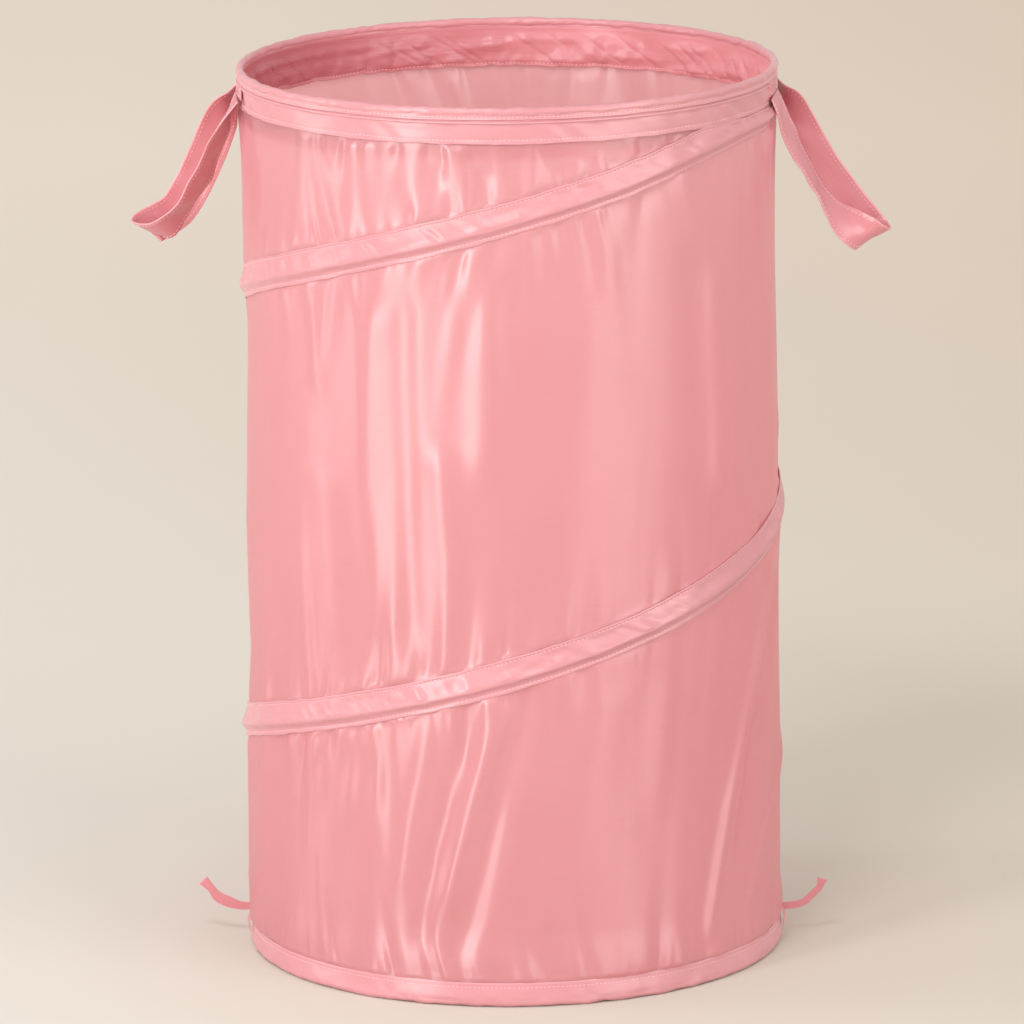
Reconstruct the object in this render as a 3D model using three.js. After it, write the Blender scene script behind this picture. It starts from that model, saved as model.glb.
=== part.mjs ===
// Pop-up laundry hamper: a cloth cylinder held open by two wire hoops and a spiral spring.
// Millimetres, +Z up, origin on the floor at the centre of the base, +Y to the back, +X to the right.
// Angles run round +Z from +X, so the front is at 270 degrees.
import * as THREE from 'three';

// Overall sizes
const height = 600;
const panel_diameter = 355;

// Cloth, wire and the gap between neighbours
const cloth = 1.0;
const casing_cloth = 0.8;
const gap = 0.3;
const hoop_wire_diameter = 3.0;
const spiral_wire_diameter = 2.4;
const ferrule_wall = 0.5;
const ferrule_length = 15;
const hoop_joint_gap = 1.0;

// Rim: a roll around the top hoop, an outer hem band and an inner facing
const roll_leg = 4.4;
const hem_edge_below_top = 24;
const facing_height = 34;

// Base: a channel around the lower hoop, a round floor panel and a binding tape inside
const base_band_height = 16;
const base_inner_leg_height = 9;
const binding_height = 9;
const binding_thickness = 1.2;

// Spiral casing: a strip sewn on the outside, with the spring under a ridge. At its upper end it
// would rise past the rim's hem by the tuck, and its upper flange is cut off along the hem.
const casing_width = 22;
const ridge_drop = 3.3;
const ridge_crown_share = 0.65;
const spiral_start_deg = 20;
const spiral_end_deg = 702;
const spiral_ease_share = 0.05;
const spiral_sway = 8;
const spiral_sway_lead_deg = 20;
const spiral_tuck = 8.5;
const cap_wall = 0.6;
const cap_length = 12;
const cap_inset = 1.5;
const swell_run = 14;

// Side panel: a slight waist between the hoops, folds drawn inward between the seams, and one
// upright seam with a tape inside. A fold wave is its count round the panel, its share of the
// depth, its phase share of a turn and the share of a turn that it drifts over the height.
const waist_depth = 1.5;
const waist_flatness = 4;
const fold_depth = 5;
const fold_pin_length = 45;
const fold_wave_shares = [
  [7, 0.42, 0.1, 0.35],
  [11, 0.33, 0.62, -0.5],
  [17, 0.25, 0.35, 0.8],
];
const free_row_shares = [0.13, 0.26, 0.39, 0.51, 0.63, 0.75, 0.87];
const seam_deg = 24;
const seam_tape_width = 10;
const seam_tape_thickness = 0.8;

// Carrying handles: one strap each, with both ends sewn under the rim roll.
// A station is its share along the handle, sideways, in lift, and its share of a half turn.
const strap_width = 25;
const strap_thickness = 1.2;
const handle_length = 122;
const handle_spread = 30;
const handle_lift = 60;
const handle_lean_deg = 32;
const handle_root_drop = 18;
const handle_root_clearance = 0.4;
const handle_set_in_share = 0.25;
const handle_right_deg = -3;
const handle_left_deg = 178.5;
const handle_right_shares = [
  [0, -1, 0, 0.053],
  [0.1, -0.97, -0.05, 0.07],
  [0.2, -0.82, -0.12, 0.09],
  [0.4, -0.6, -0.19, 0.07],
  [0.56, -0.5, -0.21, 0.06],
  [0.71, -0.45, -0.21, 0.12],
  [0.83, -0.42, -0.15, 0.3],
  [0.94, -0.3, -0.05, 0.45],
  [0.975, 0, 0, 0.5],
  [0.9, 0.28, -0.03, 0.5],
  [0.72, 0.35, -0.07, 0.5],
  [0.5, 0.45, -0.1, 0.5],
  [0.3, 0.63, -0.09, 0.51],
  [0.175, 0.835, -0.04, 0.66],
  [0.085, 0.97, -0.008, 0.87],
  [0, 1, 0, 0.947],
];
const handle_left_shares = [
  [0, -1, 0, 0.053],
  [0.1, -0.97, -0.02, 0.15],
  [0.22, -0.79, -0.05, 0.4],
  [0.42, -0.5, -0.12, 0.5],
  [0.62, -0.38, -0.16, 0.5],
  [0.76, -0.34, -0.15, 0.5],
  [0.86, -0.28, -0.05, 0.46],
  [0.92, 0, 0.03, 0.4],
  [0.87, 0.28, -0.1, 0.3],
  [0.75, 0.36, -0.17, 0.17],
  [0.62, 0.42, -0.18, 0.14],
  [0.5, 0.46, -0.18, 0.17],
  [0.38, 0.54, -0.14, 0.13],
  [0.26, 0.7, -0.1, 0.13],
  [0.12, 0.96, -0.03, 0.02],
  [0, 1, 0, -0.053],
];

// Fastening ties: a station is its share of the reach, its share of the rise and of the width
const tie_width = 6;
const tie_thickness = 1.2;
const tie_reach = 35;
const tie_rise = 18;
const tie_root_height = 19;
const tie_left_deg = 177;
const tie_right_deg = -2;
const tie_left_shares = [
  [0, 0, 0.8],
  [0.3, 0.02, 1],
  [0.54, 0.18, 1.3],
  [0.72, 0.36, 1.2],
  [0.84, 0.66, 0.9],
  [1, 1, 1.25],
];
const tie_right_shares = [
  [0, 0, 0.85],
  [0.28, 0.04, 0.85],
  [0.5, 0.18, 0.8],
  [0.66, 0.48, 0.8],
  [0.78, 0.72, 0.75],
  [0.84, 1.06, 1.15],
];

// Small loops that the ties thread through, standing out at the base seam
const loop_width = 7;
const loop_thickness = 0.8;
const loop_low = 9.5;
const loop_high = 24;
const loop_standoff = 2;
const loop_left_deg = 185;
const loop_right_deg = -5;

// Accuracy of the facets
const ring_sides = 52;
const wire_sides = 6;
const ferrule_sides = 12;
const roll_steps = 6;
const strap_steps = 44;
const tie_steps = 16;
const loop_steps = 8;

// Colours seen in the photograph
const pink_satin = 0xf3a5a8;
const pink_band = 0xf0a0a4;
const pink_lining = 0xe28f93;
const pink_strap = 0xe78e93;
const steel_grey = 0x8f9296;
const vinyl_white = 0xe9e4dc;

// Sizes that neighbours share, worked out from those above
const turn = 2 * Math.PI;
const step = turn / ring_sides;
const panel_outer = panel_diameter / 2;
const panel_mid = panel_outer - cloth / 2;
const panel_inner = panel_outer - cloth;
const hoop_radius = hoop_wire_diameter / 2;
const ferrule_outer = hoop_radius + gap + ferrule_wall;
const roll_inner = ferrule_outer + gap;
const roll_outer = roll_inner + cloth;
const rim_neck_inner = cloth / 2 + gap + cloth + gap;
const rim_neck_outer = rim_neck_inner + cloth;
const rim_centre_z = height - roll_outer;
const layers_top = rim_centre_z - ferrule_outer - gap;
const roll_bottom = layers_top - roll_leg;
const hem_bottom = height - hem_edge_below_top;
const hem_outer = panel_outer + gap + cloth;
const base_centre_z = roll_outer;
const panel_bottom = base_centre_z + ferrule_outer + gap;
const base_neck_inner = cloth / 2 + gap;
const base_neck_outer = base_neck_inner + cloth;
const binding_bottom = base_inner_leg_height + gap;
const binding_top = binding_bottom + binding_height;
const facing_bottom = height - facing_height;
const spiral_radius = spiral_wire_diameter / 2;
const spiral_sweep = THREE.MathUtils.degToRad(spiral_end_deg - spiral_start_deg);
const slant = Math.hypot(1, (height - base_band_height) / (panel_outer * spiral_sweep));
const casing_half = (casing_width / 2) * slant;
const spiral_low = base_band_height + gap + casing_half;
const strip_limit = hem_bottom - gap;
const spiral_high = strip_limit - casing_half + spiral_tuck;
const flat_facet = 1 / Math.cos(Math.PI / wire_sides);

function cloth_material(colour) {
  return new THREE.MeshStandardMaterial({ color: colour, roughness: 0.5, metalness: 0 });
}

function steel_material() {
  return new THREE.MeshStandardMaterial({ color: steel_grey, roughness: 0.35, metalness: 0.9 });
}

function vinyl_material() {
  return new THREE.MeshStandardMaterial({ color: vinyl_white, roughness: 0.55, metalness: 0 });
}

function named_mesh(name, geometry, material) {
  const mesh = new THREE.Mesh(geometry, material);
  mesh.name = name;
  return mesh;
}

// Radius of a many-sided ring at an angle between its corners, where r is the corners' radius
function facet_radius(r, angle) {
  const from_middle = THREE.MathUtils.euclideanModulo(angle, step) - step / 2;
  return (r * Math.cos(step / 2)) / Math.cos(from_middle);
}

function ring_point(r, angle, z) {
  const reach = facet_radius(r, angle);
  return new THREE.Vector3(reach * Math.cos(angle), reach * Math.sin(angle), z);
}

// Both end angles and every ring corner between them
function ring_angles(from, to) {
  const margin = step / ring_sides;
  const angles = [from];
  for (let corner = Math.ceil((from + margin) / step); corner * step < to - margin; corner += 1) {
    angles.push(corner * step);
  }
  angles.push(to);
  return angles;
}

// A solid through a row of sections with the same number of points, in a ring or with flat ends
function loft(sections, in_ring) {
  const size = sections[0].length;
  const faces = [];
  const spans = in_ring ? sections.length : sections.length - 1;
  for (let i = 0; i < spans; i += 1) {
    const here = i * size;
    const there = ((i + 1) % sections.length) * size;
    for (let j = 0; j < size; j += 1) {
      const k = (j + 1) % size;
      faces.push([here + j, here + k, there + k], [here + j, there + k, there + j]);
    }
  }
  if (!in_ring) faces.push(...end_faces(sections));
  return outward_geometry(sections.flat(), faces);
}

function end_faces(sections) {
  const size = sections[0].length;
  const last = (sections.length - 1) * size;
  const outline = flat_outline(sections[0]);
  const outline_turns_left = THREE.ShapeUtils.area(outline) > 0;
  const faces = [];
  for (const [a, b, c] of THREE.ShapeUtils.triangulateShape(outline, [])) {
    const turns_left = THREE.ShapeUtils.area([outline[a], outline[b], outline[c]]) > 0;
    const [p, q] = turns_left === outline_turns_left ? [b, c] : [c, b];
    faces.push([a, q, p], [last + a, last + p, last + q]);
  }
  return faces;
}

// The section's points in the two directions of its own plane
function flat_outline(section) {
  const origin = section[0];
  const offsets = section.map((point) => point.clone().sub(origin));
  const normal = new THREE.Vector3();
  offsets.forEach((offset, i) => {
    normal.add(offset.clone().cross(offsets[(i + 1) % offsets.length]));
  });
  const across = offsets[1].clone().normalize();
  const up = normal.normalize().cross(across);
  return offsets.map((offset) => new THREE.Vector2(offset.dot(across), offset.dot(up)));
}

function outward_geometry(points, faces) {
  const volume = faces.reduce((sum, [a, b, c]) => (
    sum + points[a].dot(points[b].clone().cross(points[c]))
  ), 0);
  const outward = volume > 0 ? faces : faces.map(([a, b, c]) => [a, c, b]);
  const geometry = new THREE.BufferGeometry().setFromPoints(points);
  geometry.setIndex(outward.flat());
  geometry.computeVertexNormals();
  return geometry;
}

// A full ring from an outline of [radius, z] points
function outline_ring(outline) {
  const sections = [];
  for (let corner = 0; corner < ring_sides; corner += 1) {
    sections.push(outline.map(([r, z]) => ring_point(r, corner * step, z)));
  }
  return loft(sections, true);
}

function band_ring(inner, outer, low, high) {
  return outline_ring([[inner, low], [outer, low], [outer, high], [inner, high]]);
}

// Points on a round roll over the panel's middle, with z measured away from the roll's neck
function roll_arc(centre_z, radius, upward) {
  const quarter = Math.PI / 2;
  const spread = quarter + quarter / roll_steps;
  const points = [];
  for (let i = 0; i <= roll_steps; i += 1) {
    const angle = spread - (2 * spread * i) / roll_steps;
    const z = centre_z + upward * radius * Math.cos(angle);
    points.push([panel_mid + radius * Math.sin(angle), z]);
  }
  return points;
}

// The roll over the top hoop: a round arch whose two legs grip the cloth layers
function rim_casing() {
  const outline = [
    [panel_mid + rim_neck_outer, roll_bottom],
    ...roll_arc(rim_centre_z, roll_outer, 1),
    [panel_mid - rim_neck_outer, roll_bottom],
    [panel_mid - rim_neck_inner, roll_bottom],
    ...roll_arc(rim_centre_z, roll_inner, 1).reverse(),
    [panel_mid + rim_neck_inner, roll_bottom],
  ];
  return named_mesh('rim_casing', outline_ring(outline), cloth_material(pink_band));
}

function top_hem_band() {
  const geometry = band_ring(panel_outer + gap, hem_outer, hem_bottom, layers_top);
  return named_mesh('top_hem_band', geometry, cloth_material(pink_band));
}

function rim_facing() {
  const outer = panel_inner - gap;
  const geometry = band_ring(outer - cloth, outer, facing_bottom, layers_top);
  return named_mesh('rim_facing', geometry, cloth_material(pink_lining));
}

// The channel at the foot of the side panel, rounded below around the lower hoop
function base_hem_band() {
  const outline = [
    [panel_mid + base_neck_outer, base_band_height],
    ...roll_arc(base_centre_z, roll_outer, -1),
    [panel_mid - base_neck_outer, base_inner_leg_height],
    [panel_mid - base_neck_inner, base_inner_leg_height],
    ...roll_arc(base_centre_z, roll_inner, -1).reverse(),
    [panel_mid + base_neck_inner, base_band_height],
  ];
  return named_mesh('base_hem_band', outline_ring(outline), cloth_material(pink_band));
}

// The floor panel reaches the rounded channel and keeps the gap to it at its upper edge
function base_panel() {
  const reach = Math.sqrt((roll_outer + gap) ** 2 - (base_centre_z - cloth) ** 2);
  const radius = panel_mid - reach;
  const profile = [[0, 0], [radius, 0], [radius, cloth], [0, cloth]];
  const points = profile.map(([r, z]) => new THREE.Vector2(r, z));
  const geometry = new THREE.LatheGeometry(points, ring_sides);
  geometry.rotateX(Math.PI / 2);
  return named_mesh('base_panel', geometry, cloth_material(pink_lining));
}

function base_seam_binding() {
  const outer = panel_inner - gap;
  const geometry = band_ring(outer - binding_thickness, outer, binding_bottom, binding_top);
  return named_mesh('base_seam_binding', geometry, cloth_material(pink_lining));
}

function round_section(centre_r, centre_z, radius, angle, stretch) {
  const section = [];
  for (let i = 0; i < wire_sides; i += 1) {
    const around = (turn * i) / wire_sides;
    const z = centre_z + radius * Math.sin(around) * stretch;
    section.push(ring_point(centre_r + radius * Math.cos(around), angle, z));
  }
  return section;
}

// A hoop's wire starts and ends inside its ferrule, in the middle of one facet
function hoop(name, centre_z) {
  const joint = step / 2;
  const half_joint_gap = hoop_joint_gap / 2 / panel_mid;
  const angles = ring_angles(joint + half_joint_gap, joint + turn - half_joint_gap);
  const sections = angles.map((angle) => round_section(panel_mid, centre_z, hoop_radius, angle, 1));
  return named_mesh(name, loft(sections, false), steel_material());
}

// A sleeve with a through bore, lying along the facet that holds the wire's joint
function ferrule(name, centre_z) {
  const bore = hoop_radius + gap;
  const half = ferrule_length / 2;
  const outline = [[bore, -half], [ferrule_outer, -half], [ferrule_outer, half], [bore, half]];
  const sections = [];
  for (let i = 0; i < ferrule_sides; i += 1) {
    const around = (turn * i) / ferrule_sides;
    sections.push(outline.map(([r, along]) => (
      new THREE.Vector3(r * Math.cos(around), along, r * Math.sin(around))
    )));
  }
  const mesh = named_mesh(name, loft(sections, true), steel_material());
  mesh.position.copy(ring_point(panel_mid, step / 2, centre_z));
  mesh.rotation.z = step / 2;
  return mesh;
}

// How far the spiral runs above or below a steady climb before the sway fades out
function spiral_swing(angle) {
  return spiral_sway * Math.sin(angle + THREE.MathUtils.degToRad(spiral_sway_lead_deg));
}

// Height of the spiral's middle line: a climb that sways and eases flat under the rim's hem
function spiral_z(angle) {
  const start = THREE.MathUtils.degToRad(spiral_start_deg);
  const foot = spiral_low - spiral_swing(start);
  const share = (angle - start) / spiral_sweep;
  const climb = 1 / (1 - spiral_ease_share / 2);
  const left = 1 - share;
  const eased = 1 - (climb * left * left) / (2 * spiral_ease_share);
  const rise = left > spiral_ease_share ? climb * share : eased;
  return foot + (spiral_high - foot) * rise + spiral_swing(angle) * left;
}

// How far the ridge swells near the spring's ends to take their caps
function end_swell(angle) {
  const start = THREE.MathUtils.degToRad(spiral_start_deg);
  const end = THREE.MathUtils.degToRad(spiral_end_deg);
  const from_end = Math.min(angle - start, end - angle) * panel_outer;
  const past_cap = from_end - cap_inset - cap_length - step * panel_outer;
  return (gap + cap_wall) * (1 - THREE.MathUtils.smoothstep(past_cap, 0, swell_run));
}

// Angles along the spiral, starting and ending a length inside the casing's ends
function spiral_angles(inset) {
  const start = THREE.MathUtils.degToRad(spiral_start_deg);
  return ring_angles(start + inset / panel_outer, start + spiral_sweep - inset / panel_outer);
}

// How far the spring's middle stands out from the panel, and its radius
function spring_standing_out(angle) {
  return gap + spiral_radius + end_swell(angle);
}

function spiral_ridge_r(angle) {
  return panel_r(spiral_z(angle) - ridge_drop) + spring_standing_out(angle);
}

// The strip's section: two flat flanges on the panel and a ridge open towards the panel
function casing_section(angle) {
  const inner = (spiral_radius + end_swell(angle)) * flat_facet + gap;
  const outer = inner + casing_cloth;
  const crown = spring_standing_out(angle);
  const flat_in = gap;
  const flat_out = flat_in + casing_cloth;
  const upper_edge = Math.min(casing_half, strip_limit - spiral_z(angle));
  const outline = [
    [flat_out, upper_edge],
    [flat_out, outer * slant - ridge_drop],
    [crown + outer, outer * slant * ridge_crown_share - ridge_drop],
    [crown + outer, -outer * slant * ridge_crown_share - ridge_drop],
    [flat_out, -outer * slant - ridge_drop],
    [flat_out, -casing_half],
    [flat_in, -casing_half],
    [flat_in, -inner * slant - ridge_drop],
    [crown + inner, -inner * slant * ridge_crown_share - ridge_drop],
    [crown + inner, inner * slant * ridge_crown_share - ridge_drop],
    [flat_in, inner * slant - ridge_drop],
    [flat_in, upper_edge],
  ];
  const ridge_r = panel_r(spiral_z(angle) - ridge_drop);
  return outline.map(([standing_out, offset]) => {
    const z = spiral_z(angle) + offset;
    const on_ridge = standing_out > flat_out;
    return ring_point((on_ridge ? ridge_r : panel_r(z)) + standing_out, angle, z);
  });
}

function spiral_casing() {
  const sections = spiral_angles(0).map(casing_section);
  return named_mesh('spiral_casing', loft(sections, false), cloth_material(pink_band));
}

function spiral_wire_section(angle, radius) {
  return round_section(spiral_ridge_r(angle), spiral_z(angle) - ridge_drop, radius, angle, slant);
}

function spiral_spring() {
  const inset = cap_inset + cap_wall + gap;
  const sections = spiral_angles(inset).map((angle) => spiral_wire_section(angle, spiral_radius));
  return named_mesh('spiral_spring', loft(sections, false), steel_material());
}

// A cup over a wire end: its outside runs along the spiral from the closed end, its bore runs back
function spiral_cap(name, end_deg, direction) {
  const end = THREE.MathUtils.degToRad(end_deg);
  const at = (length) => end + (direction * length) / panel_outer;
  const along = (from, to) => {
    const [low, high] = [Math.min(at(from), at(to)), Math.max(at(from), at(to))];
    return direction > 0 ? ring_angles(low, high) : ring_angles(low, high).reverse();
  };
  const closed_end = cap_inset;
  const mouth = cap_inset + cap_length;
  const outside = along(closed_end, mouth);
  const bore = along(closed_end + cap_wall, mouth).reverse();
  const bore_radius = spiral_radius + gap;
  const sections = [
    ...outside.map((angle) => spiral_wire_section(angle, bore_radius + cap_wall)),
    ...bore.map((angle) => spiral_wire_section(angle, bore_radius)),
  ];
  return named_mesh(name, loft(sections, false), vinyl_material());
}

// Share of the folds that is free at a place: none at the seams, all of them well away
function fold_freedom(angle, z) {
  const lap = THREE.MathUtils.euclideanModulo(angle, turn);
  const seam_middle = (Math.floor(THREE.MathUtils.degToRad(seam_deg) / step) + 1 / 2) * step;
  const seam_turn = Math.abs(lap - seam_middle);
  const seam_angle = Math.min(seam_turn, turn - seam_turn) - step;
  const distances = [
    z - binding_top,
    facing_bottom - z,
    Math.abs(z - spiral_z(lap)) - casing_half,
    Math.abs(z - spiral_z(lap + turn)) - casing_half,
  ];
  const nearest = Math.min(...distances);
  const from_seams = THREE.MathUtils.smoothstep(nearest, 0, fold_pin_length);
  return from_seams * THREE.MathUtils.smoothstep(seam_angle * panel_outer, 0, fold_pin_length);
}

function panel_fold(angle, z) {
  const depths = fold_wave_shares.map(([count, share, phase, drift]) => {
    const wave = Math.cos(count * angle + turn * (phase + (drift * z) / height));
    return (share * (1 + wave)) / 2;
  });
  const depth = depths.reduce((sum, value) => sum + value, 0);
  return fold_depth * depth * fold_freedom(angle, z);
}

// Rows of the panel's mesh: pinned at both hems, free between them
function panel_rows() {
  const free = free_row_shares.map((share) => binding_top + share * (facing_bottom - binding_top));
  return [panel_bottom, binding_top, ...free, facing_bottom, layers_top];
}

// The panel's outer radius before its folds: straight between the rows, and drawn in at the waist
function panel_r(z) {
  const rows = panel_rows();
  const upper = Math.max(1, rows.findIndex((row) => row >= z));
  const [low, high] = [rows[upper - 1], rows[upper]];
  const share = (z - low) / (high - low);
  return THREE.MathUtils.lerp(row_r(low), row_r(high), share);
}

function row_r(z) {
  const from_middle = (2 * z - binding_top - facing_bottom) / (facing_bottom - binding_top);
  return panel_outer - waist_depth * Math.max(0, 1 - Math.abs(from_middle) ** waist_flatness);
}

function side_panel() {
  const sections = [];
  for (let corner = 0; corner < ring_sides; corner += 1) {
    const angle = corner * step;
    const rows = panel_rows().map((z) => [row_r(z) - panel_fold(angle, z), z]);
    const outside = rows.map(([r, z]) => ring_point(r, angle, z));
    const inside = rows.map(([r, z]) => ring_point(r - cloth, angle, z)).reverse();
    sections.push([...outside, ...inside]);
  }
  return named_mesh('side_panel', loft(sections, true), cloth_material(pink_satin));
}

// The tape over the upright seam lies inside one facet of the panel, from hem to hem
function side_seam_binding() {
  const free = panel_rows().filter((z) => z > binding_top && z < facing_bottom);
  const sections = [binding_top + gap, ...free, facing_bottom - gap].map((z) => {
    const outer = facet_radius(panel_r(z) - cloth, step / 2) - gap;
    const inner = outer - seam_tape_thickness;
    const half = seam_tape_width / 2;
    return [[outer, -half], [outer, half], [inner, half], [inner, -half]].map(([x, y]) => (
      new THREE.Vector3(x, y, z)
    ));
  });
  const mesh = named_mesh('side_seam_binding', loft(sections, false), cloth_material(pink_lining));
  mesh.rotation.z = (Math.floor(THREE.MathUtils.degToRad(seam_deg) / step) + 1 / 2) * step;
  return mesh;
}

// A flat strap along stations that each give a place, a width direction and a width
function ribbon(stations, thickness, steps) {
  const route = new THREE.CatmullRomCurve3(stations.map((station) => station.place));
  const sides = new THREE.CatmullRomCurve3(stations.map((station) => station.side));
  const widths = new THREE.CatmullRomCurve3(
    stations.map((station) => new THREE.Vector3(station.width, 0, 0)),
  );
  const sections = [];
  for (let i = 0; i <= steps; i += 1) {
    const share = i / steps;
    const place = route.getPoint(share);
    const along = route.getTangent(share);
    const side = sides.getPoint(share);
    side.addScaledVector(along, -side.dot(along)).normalize();
    const face = side.clone().cross(along).multiplyScalar(thickness / 2);
    side.multiplyScalar(widths.getPoint(share).x / 2);
    sections.push([
      place.clone().add(side).add(face),
      place.clone().sub(side).add(face),
      place.clone().sub(side).sub(face),
      place.clone().add(side).sub(face),
    ]);
  }
  return loft(sections, false);
}

// A handle in its own frame: +X outward from the rim, +Y along the rim, origin between its ends
function handle_geometry(shares) {
  const lean = THREE.MathUtils.degToRad(handle_lean_deg);
  const along = new THREE.Vector3(Math.sin(lean), 0, -Math.cos(lean));
  const lift = new THREE.Vector3(Math.cos(lean), 0, Math.sin(lean));
  const sideways = new THREE.Vector3(0, 1, 0);
  const root_r = handle_root_r();
  const end_set_in = root_r - Math.sqrt(root_r ** 2 - handle_spread ** 2);
  const stations = shares.map(([along_share, side_share, lift_share, turn_share]) => {
    const place = along.clone().multiplyScalar(handle_length * along_share);
    place.addScaledVector(sideways, handle_spread * side_share);
    place.addScaledVector(lift, handle_lift * lift_share);
    place.x -= end_set_in * Math.max(0, 1 - along_share / handle_set_in_share);
    const angle = Math.PI * turn_share;
    const side = sideways.clone().multiplyScalar(Math.cos(angle));
    side.addScaledVector(lift, Math.sin(angle));
    return { place, side, width: strap_width };
  });
  return ribbon(stations, strap_thickness, strap_steps);
}

function handle_root_r() {
  return hem_outer + gap + handle_root_clearance + strap_thickness / 2;
}

function handle(name, shares, angle_deg) {
  const angle = THREE.MathUtils.degToRad(angle_deg);
  const mesh = named_mesh(name, handle_geometry(shares), cloth_material(pink_strap));
  const r = handle_root_r();
  mesh.position.set(r * Math.cos(angle), r * Math.sin(angle), height - handle_root_drop);
  mesh.rotation.z = angle;
  return mesh;
}

// A tie in its own frame: +X outward from the wall above the base band, on edge, origin at its root
function tie(name, shares, angle_deg) {
  const stations = shares.map(([reach_share, rise_share, width_share]) => ({
    place: new THREE.Vector3(tie_reach * reach_share, 0, tie_rise * rise_share),
    side: new THREE.Vector3(-rise_share, 0, 1),
    width: tie_width * width_share,
  }));
  const geometry = ribbon(stations, tie_thickness, tie_steps);
  const mesh = named_mesh(name, geometry, cloth_material(pink_strap));
  const angle = THREE.MathUtils.degToRad(angle_deg);
  const r = panel_r(tie_root_height) + gap;
  mesh.position.set(r * Math.cos(angle), r * Math.sin(angle), tie_root_height);
  mesh.rotation.z = angle;
  return mesh;
}

// A small loop from the base band up to the side panel, bowed outward
function tie_loop(name, angle_deg) {
  const clear = gap + loop_thickness / 2;
  const band_r = panel_mid + roll_outer + clear;
  const top_r = panel_r(loop_high) + clear;
  const middle = (loop_low + loop_high) / 2;
  const route = [
    [band_r, loop_low],
    [band_r + loop_standoff, middle],
    [top_r, loop_high],
  ];
  const stations = route.map(([r, z]) => ({
    place: new THREE.Vector3(r, 0, z),
    side: new THREE.Vector3(0, 1, 0),
    width: loop_width,
  }));
  const geometry = ribbon(stations, loop_thickness, loop_steps);
  const mesh = named_mesh(name, geometry, cloth_material(pink_strap));
  mesh.rotation.z = THREE.MathUtils.degToRad(angle_deg);
  return mesh;
}

function hamper() {
  const group = new THREE.Group();
  group.add(side_panel(), base_panel(), rim_casing(), top_hem_band(), rim_facing());
  group.add(base_hem_band(), base_seam_binding(), side_seam_binding());
  group.add(hoop('top_hoop', rim_centre_z), ferrule('top_hoop_ferrule', rim_centre_z));
  group.add(hoop('base_hoop', base_centre_z), ferrule('base_hoop_ferrule', base_centre_z));
  group.add(spiral_casing(), spiral_spring());
  group.add(spiral_cap('spiral_cap_lower', spiral_start_deg, 1));
  group.add(spiral_cap('spiral_cap_upper', spiral_end_deg, -1));
  group.add(handle('handle_right', handle_right_shares, handle_right_deg));
  group.add(handle('handle_left', handle_left_shares, handle_left_deg));
  group.add(tie('tie_left', tie_left_shares, tie_left_deg));
  group.add(tie('tie_right', tie_right_shares, tie_right_deg));
  group.add(tie_loop('tie_loop_left', loop_left_deg), tie_loop('tie_loop_right', loop_right_deg));
  return group;
}

export default hamper();
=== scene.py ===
import math

import bpy
import numpy as np
from mathutils import Matrix, Vector


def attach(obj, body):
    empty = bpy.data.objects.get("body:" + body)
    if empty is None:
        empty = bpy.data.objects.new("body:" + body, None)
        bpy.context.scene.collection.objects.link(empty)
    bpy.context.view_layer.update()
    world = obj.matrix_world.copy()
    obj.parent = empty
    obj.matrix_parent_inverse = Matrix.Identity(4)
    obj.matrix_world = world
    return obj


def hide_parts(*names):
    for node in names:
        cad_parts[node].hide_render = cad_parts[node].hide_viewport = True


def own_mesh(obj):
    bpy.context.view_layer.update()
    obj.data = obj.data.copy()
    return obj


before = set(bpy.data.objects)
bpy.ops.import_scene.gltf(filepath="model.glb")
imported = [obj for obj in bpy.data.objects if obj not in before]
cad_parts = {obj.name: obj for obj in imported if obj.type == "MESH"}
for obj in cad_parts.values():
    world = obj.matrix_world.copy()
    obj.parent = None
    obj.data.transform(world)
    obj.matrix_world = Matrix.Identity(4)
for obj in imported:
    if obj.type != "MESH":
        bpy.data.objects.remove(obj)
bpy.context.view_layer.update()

# The scene is a pop-up laundry hamper. Lengths in this script are in millimetres and angles in
# degrees unless a name says otherwise; meshes are made in metres. Angles run round +Z from +X,
# so the front, towards -Y, is at 270 degrees.
MM = 0.001

PANEL_R = 177.34  # the wall
HOOP_R = 177.0  # both hoops
PANEL_GIRTH = 2 * math.pi * PANEL_R
HOOP_GIRTH = 2 * math.pi * HOOP_R
FRONT = 270
ROLL_Z, BASE_ROLL_Z = 596.4, 3.6  # middles of the rim's roll and of the foot's
HEM_BOTTOM, HEM_STITCH_Z = 575.4, 578.2
FACING_TOP, FACING_BOTTOM = 593.2, 566.0
BAND_TOP, BAND_STITCH_Z = 16.0, 13.5
BINDING_LOW, BINDING_HIGH = 9.3, 18.3
WAIST = 1.5
PINNED = 42  # the folds are at their full height this far from every seam

SPIRAL_START, SPIRAL_END = 20.0, 702.0  # angles of the spring's ends
SPIRAL_LOW, SPIRAL_HIGH = 27.71, 572.79
SPIRAL_EASE = 0.05  # share of its length over which the rise levels off
SPIRAL_SWAY, SPIRAL_LEAD = 8.0, 20.0  # height and phase of its swing off an even rise
STRIP_END = 713.0  # the casing runs on past the spring
CASING_HALF = 11.41
RIDGE_DROP = 3.3  # the ridge lies below the casing's middle line
WIRE_R, WIRE_STAND = 1.2, 1.5
CAP_INSET = 1.5
SEAM_DEG = 24.2
DEGREES_PER_MM = 1 / math.radians(1) / PANEL_R

WALL_TOP, STRIP_TOP = 577, 575.7  # where the wall and the strips on it stop shortening


# ---------------------------------------------------------------- noise and curves

def smooth(x, low, high):
    t = np.clip((x - low) / (high - low), 0.0, 1.0)
    return t * t * (3 - 2 * t)


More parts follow.
